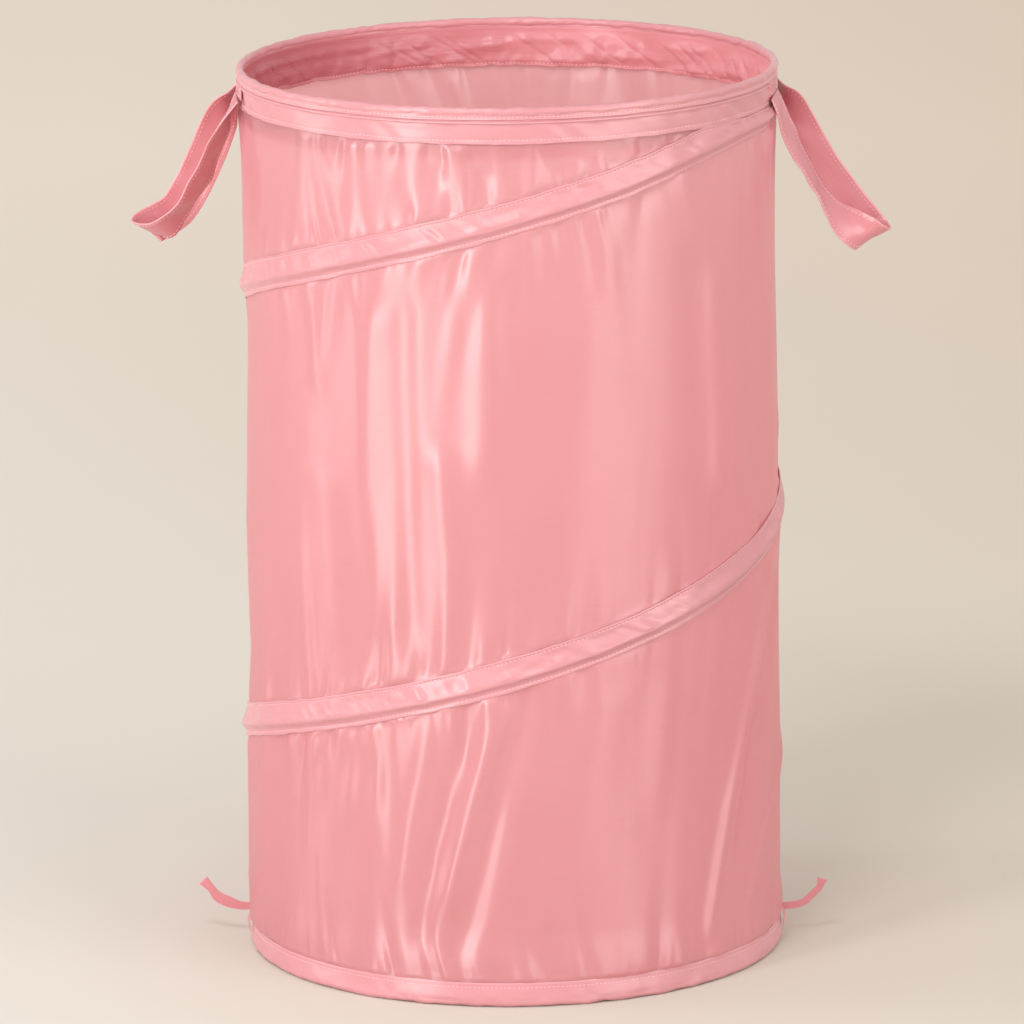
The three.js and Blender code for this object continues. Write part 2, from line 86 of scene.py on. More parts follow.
def ripple(x, seed, pitch, span=HOOP_GIRTH):
    """Smooth noise from -1 to 1 along x, repeating after span."""
    count = max(4, int(round(span / pitch)))
    knots = np.random.default_rng(seed).uniform(-1, 1, count)
    t = np.asarray(x, float) / span * count
    low = np.floor(t)
    f = t - low
    f = f * f * (3 - 2 * f)
    i = low.astype(int)
    return knots[i % count] * (1 - f) + knots[(i + 1) % count] * f


def cloud(x, y, seed, pitch_x, pitch_y, span_x=HOOP_GIRTH):
    """Smooth noise over a plane, repeating along x after span_x."""
    columns = max(4, int(round(span_x / pitch_x)))
    rows = 64
    knots = np.random.default_rng(seed).uniform(-1, 1, (columns, rows))
    tx = np.asarray(x, float) / span_x * columns
    ty = np.asarray(y, float) / pitch_y
    ix, iy = np.floor(tx), np.floor(ty)
    fx, fy = tx - ix, ty - iy
    fx, fy = fx * fx * (3 - 2 * fx), fy * fy * (3 - 2 * fy)
    ix, iy = ix.astype(int), iy.astype(int)
    a, b = knots[ix % columns, iy % rows], knots[(ix + 1) % columns, iy % rows]
    c, d = knots[ix % columns, (iy + 1) % rows], knots[(ix + 1) % columns, (iy + 1) % rows]
    return (a * (1 - fx) + b * fx) * (1 - fy) + (c * (1 - fx) + d * fx) * fy


def curve(points, shares):
    """A centripetal Catmull-Rom curve through the points, read at shares from 0 to 1."""
    points = np.asarray(points, float)
    count = len(points)
    ends = [2 * points[0] - points[1], *points, 2 * points[-1] - points[-2]]
    ends = np.array(ends)
    out = []
    for share in shares:
        at = share * (count - 1)
        i = min(int(at), count - 2)
        w = at - i
        p0, p1, p2, p3 = ends[i:i + 4]
        d0, d1, d2 = (max(np.linalg.norm(b - a) ** 0.5, 1e-4)
                      for a, b in ((p0, p1), (p1, p2), (p2, p3)))
        t1 = ((p1 - p0) / d0 - (p2 - p0) / (d0 + d1) + (p2 - p1) / d1) * d1
        t2 = ((p2 - p1) / d1 - (p3 - p1) / (d1 + d2) + (p3 - p2) / d2) * d1
        out.append(p1 + t1 * w + (-3 * p1 + 3 * p2 - 2 * t1 - t2) * w * w
                   + (2 * p1 - 2 * p2 + t1 + t2) * w ** 3)
    return np.array(out)


def cylinder(r, degrees, z):
    r, a, z = np.broadcast_arrays(r, np.radians(degrees), z)
    return np.stack([r * np.cos(a), r * np.sin(a), z], axis=-1)


def unit(v):
    return v / np.maximum(np.linalg.norm(v, axis=-1, keepdims=True), 1e-9)


def angle_from(zero, degrees):
    """Angle past zero, from -180 to 180."""
    return (degrees - zero + 180) % 360 - 180


def around(count):
    """Angles of so many even steps round a circle."""
    return np.arange(0, 360, 360 / count)


def run_lengths(points):
    """Distance along a run of points, from 0 at its first."""
    return np.concatenate([[0], np.cumsum(np.linalg.norm(np.diff(points, axis=0), axis=1))])


# ---------------------------------------------------------------- the cloth cylinder's shape

def spiral_swing(degrees):
    return SPIRAL_SWAY * np.sin(np.radians(degrees + SPIRAL_LEAD))


def spiral_z(degrees):
    """Height of the spiral's middle line, level past its end."""
    share = np.minimum((degrees - SPIRAL_START) / (SPIRAL_END - SPIRAL_START), 1)
    foot = SPIRAL_LOW - spiral_swing(SPIRAL_START)
    climb = 1 / (1 - SPIRAL_EASE / 2)
    left = 1 - share
    rise = np.where(left > SPIRAL_EASE, climb * share,
                    1 - climb * left ** 2 / (2 * SPIRAL_EASE))
    return foot + (SPIRAL_HIGH - foot) * rise + spiral_swing(degrees) * left


def near_end(degrees):
    """1 at the spring's two ends, and 0 from 50 mm on."""
    from_end = np.minimum(degrees - SPIRAL_START, SPIRAL_END - degrees)
    return 1 - smooth(np.radians(from_end) * PANEL_R, 20, 50)


def wall_r(z):
    """Radius of the wall before its folds: a little waist between the two hems."""
    middle = (2 * z - BINDING_HIGH - FACING_BOTTOM) / (FACING_BOTTOM - BINDING_HIGH)
    return PANEL_R - WAIST * np.maximum(0, 1 - np.abs(middle) ** 4)


def bulge(degrees, z):
    """How the slack cloth leans out or in at the two sides, well away from the hems."""
    front = angle_from(FRONT, degrees)
    left = np.interp(z, [16, 45, 110, 205, 290, 430, 500, 560],
                     [0, 5.2, 5.4, 1.4, 3.2, -1.2, 1.6, 0.6])
    right = np.interp(z, [16, 60, 150, 300, 400, 470], [0, 2.6, 3.4, 3.2, 2.4, 1.6])
    return left * np.exp(-((front + 90) / 40) ** 2) + right * np.exp(-((front - 90) / 40) ** 2)


# Folds that the photograph shows. Each runs through (front angle, height) points, top to bottom;
# the front angle is 0 at the front and grows to the right. Then half width, height and the
# width over which the crest is rounded.
FOLDS = [
    ([(-39, 574), (-38, 505)], 9, 0.8, 4),
    ([(-22, 574), (-21, 515)], 9, 1.0, 4),
    ([(-15, 574), (-15.5, 524)], 6, -0.8, 3),
    ([(-10, 572), (-9, 530)], 7, 0.7, 3),
    ([(5, 566), (2, 520)], 8, 0.5, 5),
    ([(-52, 574), (-50, 500)], 8, 0.7, 5),
    ([(-32, 466), (-33, 350), (-28, 236)], 15, 1.5, 4),
    ([(-23, 476), (-23, 380), (-22, 212)], 7, -0.9, 4),
    ([(-5, 500), (-4.5, 421), (-6, 350)], 15, 2.3, 2.5),
    ([(3, 500), (4, 300)], 20, -0.9, 9),
    ([(-15, 372), (-14, 300), (-15, 226)], 9, 1.3, 3),
    ([(-47, 470), (-46, 400)], 7, 0.9, 2),
    ([(-44, 350), (-40, 236)], 12, 0.8, 6),
    ([(44, 500), (45, 330)], 14, -1.2, 5),
    ([(49.5, 480), (50.5, 330)], 9, 1.1, 2.5),
    ([(64, 520), (66, 300)], 12, -0.8, 6),
    ([(-2, 214), (-10, 120), (-16, 60)], 10, 2.4, 3),
    ([(2.5, 214), (-6, 118), (-13, 26)], 9, -2.2, 4),
    ([(-9.5, 200), (-17, 105), (-21, 40)], 8, -1.6, 3),
    ([(-18, 196), (-23, 124), (-26, 70)], 8, 1.2, 2.5),
    ([(-29, 186), (-32, 120)], 6, 0.8, 2),
    ([(-36, 182), (-39, 120)], 6, 1.0, 2),
    ([(-45, 176), (-47, 125)], 5, 0.8, 2),
    ([(75, 276), (58.4, 167), (52.4, 116), (48.6, 70), (45, 24)], 6, 2.0, 1.5),
    ([(81, 262), (63.5, 150), (56, 70)], 9, -2.0, 3),
    ([(87, 140), (68, 89), (60, 40)], 6, 1.4, 2),
    ([(22, 212), (14, 120), (4, 40)], 14, 1.0, 6),
    ([(35, 214), (31, 120)], 10, 0.7, 5),
]


def folds(degrees, z):
    """Height of the soft folds, outward positive, before the seams pin them."""
    front = angle_from(FRONT, degrees)
    arc = np.radians(degrees) * PANEL_R
    drift = 0.12 * (z - 300)
    out = 1.3 * cloud(arc + drift, z + 40, 11, 34, 210, PANEL_GIRTH)
    out += 0.6 * cloud(arc - drift, z + 15, 12, 15, 110, PANEL_GIRTH)
    out *= 1 - 0.4 * smooth(80 - np.abs(front), 0, 25)
    for points, half, height, crest in FOLDS:
        points = points[::-1]
        heights = [p[1] for p in points]
        at = np.interp(z, heights, [p[0] for p in points])
        along = smooth(z, heights[0] - 14, heights[0] + 22) \
            * (1 - smooth(z, heights[-1] - 14, heights[-1] + 10))
        away = np.radians(angle_from(at, front)) * PANEL_R
        slope = np.sqrt(away ** 2 + (1.5 * crest) ** 2) - 1.5 * crest
        out += 1.5 * height * np.exp(-slope / half * (1 + slope / half)) * along
    return out


def casing_turns(degrees, z):
    """For each turn of the casing: whether it is there, and how far z is above its middle."""
    for turn in (0, 360):
        angle = degrees % 360 + turn
        there = (angle >= SPIRAL_START) & (angle <= STRIP_END)
        yield there, z - spiral_z(np.clip(angle, SPIRAL_START, STRIP_END))


def seam_distances(degrees, z):
    """Distance from each seam, with the seed of its puckers: hem, band and casing edges."""
    out = [(np.abs(HEM_BOTTOM - z), 1), (np.abs(z - BAND_TOP), 7)]
    for (there, rise), seed in zip(casing_turns(degrees, z), (3, 5)):
        away = np.where(there, 0, 500)
        out.append((np.abs(rise - CASING_HALF) + away, seed))
        out.append((np.abs(rise + CASING_HALF) + away, seed + 20))
    return out


def under_strip(degrees, z):
    """1 where the wall lies under the casing or a hem band, and 0 elsewhere."""
    covered = (z > HEM_BOTTOM) | (z < BAND_TOP)
    for there, rise in casing_turns(degrees, z):
        covered = covered | (there & (np.abs(rise) < CASING_HALF))
    return covered.astype(float)


def puckers(degrees, z):
    """Short gathers that run away from each line of stitching, hardly at all under a strip."""
    span = PANEL_GIRTH
    arc = np.radians(degrees) * PANEL_R
    out = np.zeros(np.broadcast(degrees, z).shape)
    for away, seed in seam_distances(degrees, z):
        strength = 0.4 + 0.6 * smooth(ripple(arc, seed + 40, 75, span), -0.5, 0.6)
        reach = 7 + 17 * smooth(ripple(arc, seed + 50, 24, span), -0.6, 0.9)
        lean = arc + away * 0.35 * ripple(arc, seed + 60, 60, span)
        fine = ripple(lean, seed + 70, 5.5, span)
        broad = ripple(lean, seed + 80, 13, span)
        start = 1 - np.exp(-away / 3)
        out += strength * start * (1.2 * fine * np.exp(-away / (0.6 * reach))
                                   + 2.8 * broad * np.exp(-away / (1.6 * reach)))
        pinch = (1 - np.abs(ripple(lean, seed + 90, 11, span))) ** 7
        out -= 0.9 * strength * start * pinch * np.exp(-away / (0.5 * reach))
    return 1.4 * out * (1 - 0.85 * under_strip(degrees, z))


def wall_offset(degrees, z):
    """How far the wall's cloth stands off its plain radius, in millimetres, outward positive."""
    nearest = np.min([away for away, _ in seam_distances(degrees, z)], axis=0)
    free = smooth(nearest, 0, PINNED)
    seam = smooth(np.radians(np.abs(angle_from(SEAM_DEG, degrees))) * PANEL_R, 2, 30)
    sink = -0.6 * free - 0.25
    loose = folds(degrees, z) * (0.4 + 0.6 * free) * seam + puckers(degrees, z) * seam
    return bulge(degrees, z) + sink + loose


# ---------------------------------------------------------------- meshes

def mesh_object(name, vertices, faces, corner_uv, material, wear=None):
    mesh = bpy.data.meshes.new(name)
    mesh.from_pydata(np.asarray(vertices, float) * MM, [], faces)
    layer = mesh.uv_layers.new(name="UVMap")
    layer.data.foreach_set("uv", (np.asarray(corner_uv, np.float32) * MM).ravel())
    values = np.zeros(len(vertices), np.float32) if wear is None else wear.astype(np.float32)
    mesh.attributes.new("wear", "FLOAT", "POINT").data.foreach_set("value", values.ravel())
    mesh.polygons.foreach_set("use_smooth", np.ones(len(mesh.polygons), bool))
    mesh.materials.append(material)
    mesh.update()
    piece = bpy.data.objects.new(name, mesh)
    bpy.context.scene.collection.objects.link(piece)
    return piece


def grid_object(name, points, u, v, material, ring=False, tube=False, caps=False, worn=(),
                wear=0.0):
    """A surface over a grid of points. ring closes its first direction and tube its second;
    caps fills the two ends of an open tube. u and v are the cloth's own coordinates, and worn
    lists the columns of its worn edges."""
    rows, columns = points.shape[:2]
    i = np.arange(rows if ring else rows - 1)[:, None]
    j = np.arange(columns if tube else columns - 1)[None, :]
    i, j = np.broadcast_arrays(i, j)
    i, j = i.ravel(), j.ravel()
    i2, j2 = (i + 1) % rows, (j + 1) % columns
    quads = np.stack([i * columns + j, i2 * columns + j, i2 * columns + j2, i * columns + j2], 1)
    corner = np.stack([np.stack([u[a], v[b]], 1)
                       for a, b in ((i, j), (i + 1, j), (i + 1, j + 1), (i, j + 1))], 1)
    faces = quads.tolist()
    corner = corner.reshape(-1, 2)
    if caps:
        first = list(range(columns))
        last = [(rows - 1) * columns + k for k in range(columns)]
        faces += [first, last[::-1]]
        corner = np.vstack([corner, np.zeros((2 * columns, 2))])
    edges = np.zeros(columns)
    edges[np.array(worn, int)] = wear
    return mesh_object(name, points.reshape(-1, 3), faces, corner, material,
                       np.tile(edges, rows))


def face_outward(piece):
    """Turns the faces so that a closed piece's normals point out of it."""
    mesh = piece.data
    count = len(mesh.vertices)
    co = np.empty(count * 3)
    mesh.vertices.foreach_get("co", co)
    co = co.reshape(-1, 3)
    mesh.calc_loop_triangles()
    tri = np.empty(len(mesh.loop_triangles) * 3, int)
    mesh.loop_triangles.foreach_get("vertices", tri)
    a, b, c = co[tri.reshape(-1, 3)].transpose(1, 0, 2)
    if np.einsum("ij,ij->i", a, np.cross(b, c)).sum() < 0:
        mesh.flip_normals()
    return piece


def thicken(path, thickness):
    """A closed, round ended outline of a path of (r, z) points, laid thickness to its left."""
    path = np.asarray(path, float)
    along = unit(np.gradient(path, axis=-2))
    left = np.stack([-along[..., 1], along[..., 0]], axis=-1)
    back = path + left * thickness
    tip = (path[..., -1:, :] + back[..., -1:, :]) / 2 + along[..., -1:, :] * thickness * 0.45
    tail = (path[..., :1, :] + back[..., :1, :]) / 2 - along[..., :1, :] * thickness * 0.45
    return np.concatenate([path, tip, back[..., ::-1, :], tail], axis=-2)


def outline_lengths(outline):
    return run_lengths(np.vstack([outline, outline[:1]]))


def strip_object(name, front, back, lengths, material, worn=(), wear=0.0):
    """A closed strip between its front's and its back's grids of points."""
    points = np.concatenate([front, back[:, ::-1]], axis=1)
    return face_outward(grid_object(name, points, lengths, outline_lengths(points[0]), material,
                                    tube=True, caps=True, worn=worn, wear=wear))


def refine(path, steps):
    """More points on a path of (r, z) points, smoothly through them."""
    return curve(path, np.linspace(0, 1, steps))


def read_run(points, lengths, at):
    """A run's points, or its normals, at distances along it."""
    return np.stack([np.interp(at, lengths, points[:, k]) for k in range(3)], 1)


STITCH_LENGTH, STITCH_PITCH, STITCH_WIDTH, STITCH_PROUD = 1.9, 2.9, 0.5, 0.12
# Rings along a stitch: share of its length from its middle, and size.
STITCH_RINGS = [(-0.5, 0.35), (-0.3, 0.9), (0.3, 0.9), (0.5, 0.35)]
STITCH_SIDES = 5


def stitches(name, runs):
    """Short raised threads along runs of (points, outward normals)."""
    sides, size = STITCH_SIDES, STITCH_SIDES * len(STITCH_RINGS)
    quads = np.array([[r + k, r + (k + 1) % sides, r + sides + (k + 1) % sides, r + sides + k]
                      for r in range(0, size - sides, sides) for k in range(sides)])
    vertices, faces = [], []
    start = 0
    for points, normals in runs:
        lengths = run_lengths(points)
        count = int(lengths[-1] / STITCH_PITCH)
        if count < 1:
            continue
        at = (np.arange(count) + 0.5) * lengths[-1] / count
        middle = read_run(points, lengths, at)
        up = unit(read_run(normals, lengths, at))
        ahead = read_run(points, lengths, at + 0.3) - read_run(points, lengths, at - 0.3)
        ahead = unit(ahead - np.einsum("ij,ij->i", ahead, up)[:, None] * up)
        side = np.cross(up, ahead)
        ring = []
        for share, wide in STITCH_RINGS:
            for k in range(sides):
                a = 2 * math.pi * (k + 0.5) / sides
                radius = STITCH_WIDTH / 2 * wide
                rise = STITCH_PROUD + radius * math.sin(a) - (abs(share) * 2) ** 3 * 0.12
                ring.append(middle + ahead * share * STITCH_LENGTH
                            + side * (radius * math.cos(a)) + up * rise)
        vertices.append(np.stack(ring, 1).reshape(-1, 3))
        firsts = start + np.arange(count) * size
        faces += (quads + firsts[:, None, None]).reshape(-1, 4).tolist()
        for first in firsts.tolist():
            faces.append(list(range(first + sides - 1, first - 1, -1)))
            faces.append(list(range(first + size - sides, first + size)))
        start += count * size
    corners = sum(len(face) for face in faces)
    return mesh_object(name, np.vstack(vertices), faces, np.zeros((corners, 2)), THREAD)


# ---------------------------------------------------------------- materials

def fill(tree, node, inputs):
    """Links each of the node's inputs to a socket, or sets it to a value."""
    for socket, value in inputs.items():
        if isinstance(value, bpy.types.NodeSocket):
            tree.links.new(value, node.inputs[socket])
        else:
            node.inputs[socket].default_value = value
    return node


def add(tree, kind, inputs=None, **settings):
    node = tree.nodes.new("ShaderNode" + kind)
    for name, value in settings.items():
        setattr(node, name, value)
    return fill(tree, node, inputs or {})


def new_material(name):
    material = bpy.data.materials.new(name)
    material.use_nodes = True
    tree = material.node_tree
    tree.nodes.clear()
    shader = add(tree, "BsdfPrincipled")
    output = add(tree, "OutputMaterial", {0: shader.outputs[0]})
    return material, tree, shader, output


def noise(tree, vector, scale, detail):
    node = add(tree, "TexNoise", {"Scale": scale, "Detail": detail, "Vector": vector})
    return node.outputs["Fac"]


def mapped(tree, vector, scale):
    return add(tree, "Mapping", {"Scale": scale, "Vector": vector}).outputs[0]


def mix_colour(tree, factor, a, b, blend="MIX"):
    node = add(tree, "Mix", data_type="RGBA", blend_type=blend)
    return fill(tree, node, {0: factor, 6: a, 7: b}).outputs[2]


def ranged(tree, value, low, high, out_low, out_high):
    return add(tree, "MapRange", {"Value": value, "From Min": low, "From Max": high,
                                  "To Min": out_low, "To Max": out_high}).outputs[0]


def bump(tree, height, strength, distance):
    return add(tree, "Bump", {"Strength": strength, "Distance": distance,
                              "Height": height}).outputs[0]


def satin(name, colour, shade, bright, roughness, sheen=0.12, through=0.0, painted_left_shade=0.0,
          gloss=1.0, index=1.5):
    """Satin: warp and weft threads with slubs, a gloss drawn out across the weft and paler worn
    fold edges. through is the share of light that comes through it. The next argument sets how
    much painted shade darkens its left side, where it lies in the rim's own shade."""
    material, tree, shader, output = new_material(name)
    uv = add(tree, "UVMap", uv_map="UVMap").outputs[0]
    spot = add(tree, "TexCoord").outputs["Object"]
    blotch = noise(tree, spot, 9.0, 3.0)
    slub = noise(tree, mapped(tree, uv, (40, 1500, 1)), 1.0, 2.0)
    warp = noise(tree, mapped(tree, uv, (2600, 60, 1)), 1.0, 1.0)
    wave = add(tree, "TexWave", {"Scale": 420.0, "Vector": uv},
               wave_type="BANDS", bands_direction="DIAGONAL").outputs["Fac"]
    base = mix_colour(tree, ranged(tree, blotch, 0.3, 0.7, 0, 1), shade, colour)
    # Painted shade: the colour is darkened towards -X, to a deep red, where the rim's inside lies
    # in its own shade.
    if painted_left_shade:
        across = add(tree, "SeparateXYZ", {0: spot}).outputs[0]
        painted_shade_share = ranged(tree, across, -0.17, 0.06, painted_left_shade, 0)
        base = mix_colour(tree, painted_shade_share, base, (0.36, 0.06, 0.075, 1))
    base = mix_colour(tree, ranged(tree, slub, 0.3, 0.7, 0, 0.16), base, bright)
    worn = add(tree, "Attribute", attribute_name="wear").outputs["Fac"]
    base = mix_colour(tree, worn, base, bright)
    height = add(tree, "Math", {0: slub, 1: warp}, operation="ADD").outputs[0]
    weave = add(tree, "Math", {0: wave, 1: 0.5, 2: height}, operation="MULTIPLY_ADD").outputs[0]
    weft = add(tree, "Tangent", direction_type="UV_MAP", uv_map="UVMap").outputs[0]
    fill(tree, shader, {
        "Base Color": base,
        "Roughness": ranged(tree, blotch, 0.25, 0.75, roughness + 0.05, roughness - 0.05),
        "Sheen Weight": sheen,
        "Sheen Roughness": 0.35,
        "Sheen Tint": (1.0, 0.86, 0.87, 1.0),
        "Specular IOR Level": gloss,
        "IOR": index,
        "Tangent": weft,
        "Anisotropic": 0.8,
        "Anisotropic Rotation": 0.25,
        "Normal": bump(tree, weave, 0.10, 0.0002),
    })
    if through:
        lit = add(tree, "BsdfTranslucent",
                  {"Color": mix_colour(tree, 0.55, base, (1.0, 0.70, 0.70, 1))})
        both = add(tree, "MixShader", {0: through, 1: shader.outputs[0], 2: lit.outputs[0]})
        fill(tree, output, {0: both.outputs[0]})
    return material


def thread_material(name, colour, bright):
    """Spun sewing thread: twisted plies with a little gloss."""
    material, tree, shader, _ = new_material(name)
    spot = add(tree, "TexCoord").outputs["Object"]
    plies = add(tree, "TexWave", {"Scale": 900.0, "Distortion": 1.5,
                                  "Vector": spot}).outputs["Fac"]
    fill(tree, shader, {"Base Color": mix_colour(tree, plies, colour, bright), "Roughness": 0.5,
                        "Normal": bump(tree, plies, 0.3, 0.0001)})
    return material


def hard_material(name, colour, dark, metallic, roughness, grain):
    """Drawn wire or moulded vinyl: fine noise in colour, gloss and surface."""
    material, tree, shader, _ = new_material(name)
    fine = noise(tree, add(tree, "TexCoord").outputs["Object"], grain, 4.0)
    fill(tree, shader, {
        "Base Color": mix_colour(tree, ranged(tree, fine, 0.35, 0.65, 0, 1), dark, colour),
        "Metallic": metallic,
        "Roughness": ranged(tree, fine, 0.3, 0.7, roughness + 0.08, roughness - 0.06),
        "Normal": bump(tree, fine, 0.15, 0.0002),
    })
    return material


PANEL = satin("satin_cloth", (0.775, 0.32, 0.345, 1), (0.74, 0.285, 0.31, 1),
              (0.85, 0.45, 0.48, 1), roughness=0.37, through=0.42, index=1.7)
BAND = satin("band_cloth", (0.69, 0.295, 0.32, 1), (0.62, 0.245, 0.27, 1),
             (0.80, 0.42, 0.45, 1), roughness=0.38, through=0.08, gloss=0.8)
# The lining's left side carries painted shade.
LINING = satin("lining_cloth", (0.69, 0.275, 0.295, 1), (0.60, 0.21, 0.23, 1),
               (0.84, 0.42, 0.44, 1), roughness=0.34, sheen=0.0, painted_left_shade=0.82, gloss=0.5)
STRAP = satin("strap_cloth", (0.66, 0.235, 0.26, 1), (0.58, 0.185, 0.21, 1),
              (0.84, 0.40, 0.42, 1), roughness=0.3, sheen=0.05, gloss=0.8)
THREAD = thread_material("thread", (0.88, 0.46, 0.49, 1), (0.97, 0.66, 0.67, 1))
STEEL = hard_material("spring_steel", (0.55, 0.56, 0.58, 1), (0.30, 0.31, 0.33, 1),
                      1.0, 0.34, 700)
VINYL = hard_material("vinyl", (0.80, 0.76, 0.70, 1), (0.66, 0.62, 0.56, 1), 0.0, 0.5, 400)


# ---------------------------------------------------------------- pieces

def place(piece, body, slot, *nodes):
    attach(piece, body)
    if nodes:
        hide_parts(*nodes)
    return piece


def settle(piece):
    """Gives the piece its own copy of its mesh."""
    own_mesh(piece)
    return piece


def normals_of(points):
    """Outward normals of a ring's run of points, from its radius."""
    return unit(points * [1, 1, 0])


def make_wall():
    degrees = around(800)
    # Rows: behind the band, over the open wall and behind the facing and the hem.
    heights = np.concatenate([np.linspace(12, 30, 16), np.linspace(31.5, 562, 340),
                              np.linspace(563.5, 586, 17)])
    d, z = np.meshgrid(degrees, heights, indexing="ij")
    puff = (1.0 * smooth(z, 13, 15.5) + 1.0 * smooth(z, 16.5, 19)) * (1 - smooth(z, 24, 50))
    tuck = -0.4 * (1 - smooth(z, 12.5, 14))
    arc = np.radians(angle_from(SEAM_DEG, d)) * PANEL_R
    seam = -0.5 * np.exp(-(arc / 1.1) ** 2) \
        + 0.35 * smooth(arc, 0, 1.2) * (1 - smooth(arc, 7, 9))
    offset = wall_offset(d, z)
    # The folds are kept from the facing's back and from the hem band's.
    behind = smooth(z, 554, 564)
    offset = offset + behind * (np.maximum(offset, -0.45) - offset)
    under = smooth(z, 571, HEM_BOTTOM)
    offset = offset + under * (np.minimum(offset, 0.1) - offset)
    hem = 0.45 * np.exp(-np.maximum(HEM_BOTTOM - z, 0) / 7) * (1 - smooth(z, HEM_BOTTOM, 577))
    r = wall_r(z) + offset + puff + tuck + seam + hem
    u = np.radians(np.append(degrees, 360)) * PANEL_R
    piece = grid_object("side_panel_cloth", cylinder(r, d, z), u, heights, PANEL, ring=True)
    place(piece, "base", "satin_cloth", "side_panel")
    settle(piece)


# The casing's outer surface: height above its middle line, and how far it stands off the wall.
CASING_PROFILE = [
    (11.4, 0.62), (10.9, 0.95), (10.0, 0.9), (9.2, 0.55), (8.2, 0.85), (5.5, 1.35), (2.5, 2.1),
    (0.2, 2.85), (-1.4, 3.35), (-2.6, 3.55), (-3.6, 3.5), (-4.7, 3.0), (-5.7, 2.2), (-6.8, 1.35),
    (-7.9, 0.8), (-8.9, 0.5), (-9.7, 0.85), (-10.8, 0.95), (-11.4, 0.6),
]
CASING_COLUMNS = 40


def fitted(v, degrees):
    """Offsets across the strip, narrowed where its end runs out under the rim's hem."""
    middle = spiral_z(degrees)
    upper = np.minimum(CASING_HALF, HEM_BOTTOM + 0.4 - middle)
    lower = CASING_HALF - (CASING_HALF + 2.0) * smooth(degrees, SPIRAL_END - 3, STRIP_END)
    high = 1.2 + (v - 1.2) * (upper - 1.2) / (CASING_HALF - 1.2)
    low = v * lower / CASING_HALF
    return np.where(v > 1.2, high, np.where(v < 0, low, v))


def casing_points(degrees, profile, stand=0.0):
    """Outer surface of the spiral casing: one row of points across it for each angle."""
    v, h = profile[:, 0][None, :], profile[:, 1][None, :]
    a = degrees[:, None]
    arc = np.radians(a) * PANEL_R
    ends = near_end(a)
    fade = 1 - smooth(a, SPIRAL_END, STRIP_END)
    crest = np.exp(-((v + RIDGE_DROP) / 2.6) ** 2)
    middle = smooth(CASING_HALF - np.abs(v), 1.5, 6)
    span = 4400.0  # past the two turns, so that no noise repeats
    edge = (0.35 * ripple(arc, 91, 13, span) + 0.2 * ripple(arc, 92, 5, span)) * np.sign(v)
    edge = edge * smooth(np.abs(v), 7, 11)
    drag = arc + 0.9 * v * (1 + 0.6 * ripple(arc, 93, 90, span))
    strength = 0.35 + 0.65 * smooth(ripple(arc, 95, 60, span), -0.4, 0.6)
    crumple = 1.1 * ripple(drag, 94, 8.5, span) * strength + 0.45 * ripple(drag, 98, 4.5, span)
    crumple = crumple + 0.85 * cloud(arc, v + 40, 96, 16, 6.5, span)
    lift = h * (0.3 + 0.7 * fade) + 0.9 * ends * crest * fade + stand
    crumple = crumple * (1 - 0.7 * crest) * (1 - 0.9 * ends * crest)
    lift = lift + np.where(v > -2, 1.0, 0.55) * middle * crumple
    lift = lift + 0.16 * ripple(arc, 97, 7, span) * (1 - middle)
    z = spiral_z(a) + fitted(v, a) + edge
    return cylinder(wall_r(z) + bulge(a, z) + lift, a, z)


def make_casing():
    degrees = np.linspace(SPIRAL_START, STRIP_END, 1500)
    front = refine(CASING_PROFILE, CASING_COLUMNS)
    back = front.copy()
    back[:, 1] = np.maximum(back[:, 1] - 0.5, 0.05)
    back[0, 0] -= 0.25
    back[-1, 0] += 0.25
    piece = strip_object("spiral_casing_cloth", casing_points(degrees, front),
                         casing_points(degrees, back), np.radians(degrees) * PANEL_R, BAND,
                         [0, 1, CASING_COLUMNS - 2, CASING_COLUMNS - 1], 0.5)
    place(piece, "base", "band_cloth", "spiral_casing")
    settle(piece)
    runs = []
    across, stand = np.array(CASING_PROFILE).T
    for line in (9.25, -8.9):
        height = np.interp(-line, -across, stand)
        row = casing_points(degrees[3:-3], np.array([[line, height]]))[:, 0]
        runs.append((row, normals_of(row)))
    settle(place(stitches("spiral_stitches", runs), "base", "band_cloth"))


def tube_along(centres, radii, sides, name, material):
    """A round tube along centres, with a radius for each; its ends are closed flat."""
    along = unit(np.gradient(centres, axis=0))
    side = unit(np.cross(along, normals_of(centres)))
    up = np.cross(side, along)
    a = np.linspace(0, 2 * math.pi, sides, endpoint=False)
    points = centres[:, None] + radii[:, None, None] * (
        side[:, None] * np.cos(a)[None, :, None] + up[:, None] * np.sin(a)[None, :, None])
    round_uv = np.append(a, 2 * math.pi) * radii.max()
    return face_outward(grid_object(name, points, run_lengths(centres), round_uv, material,
                                    tube=True, caps=True))


def spring_centres(degrees):
    ends = near_end(degrees)
    z = spiral_z(degrees) - RIDGE_DROP
    return cylinder(wall_r(z) + bulge(degrees, z) + WIRE_STAND + 0.6 * ends, degrees, z)


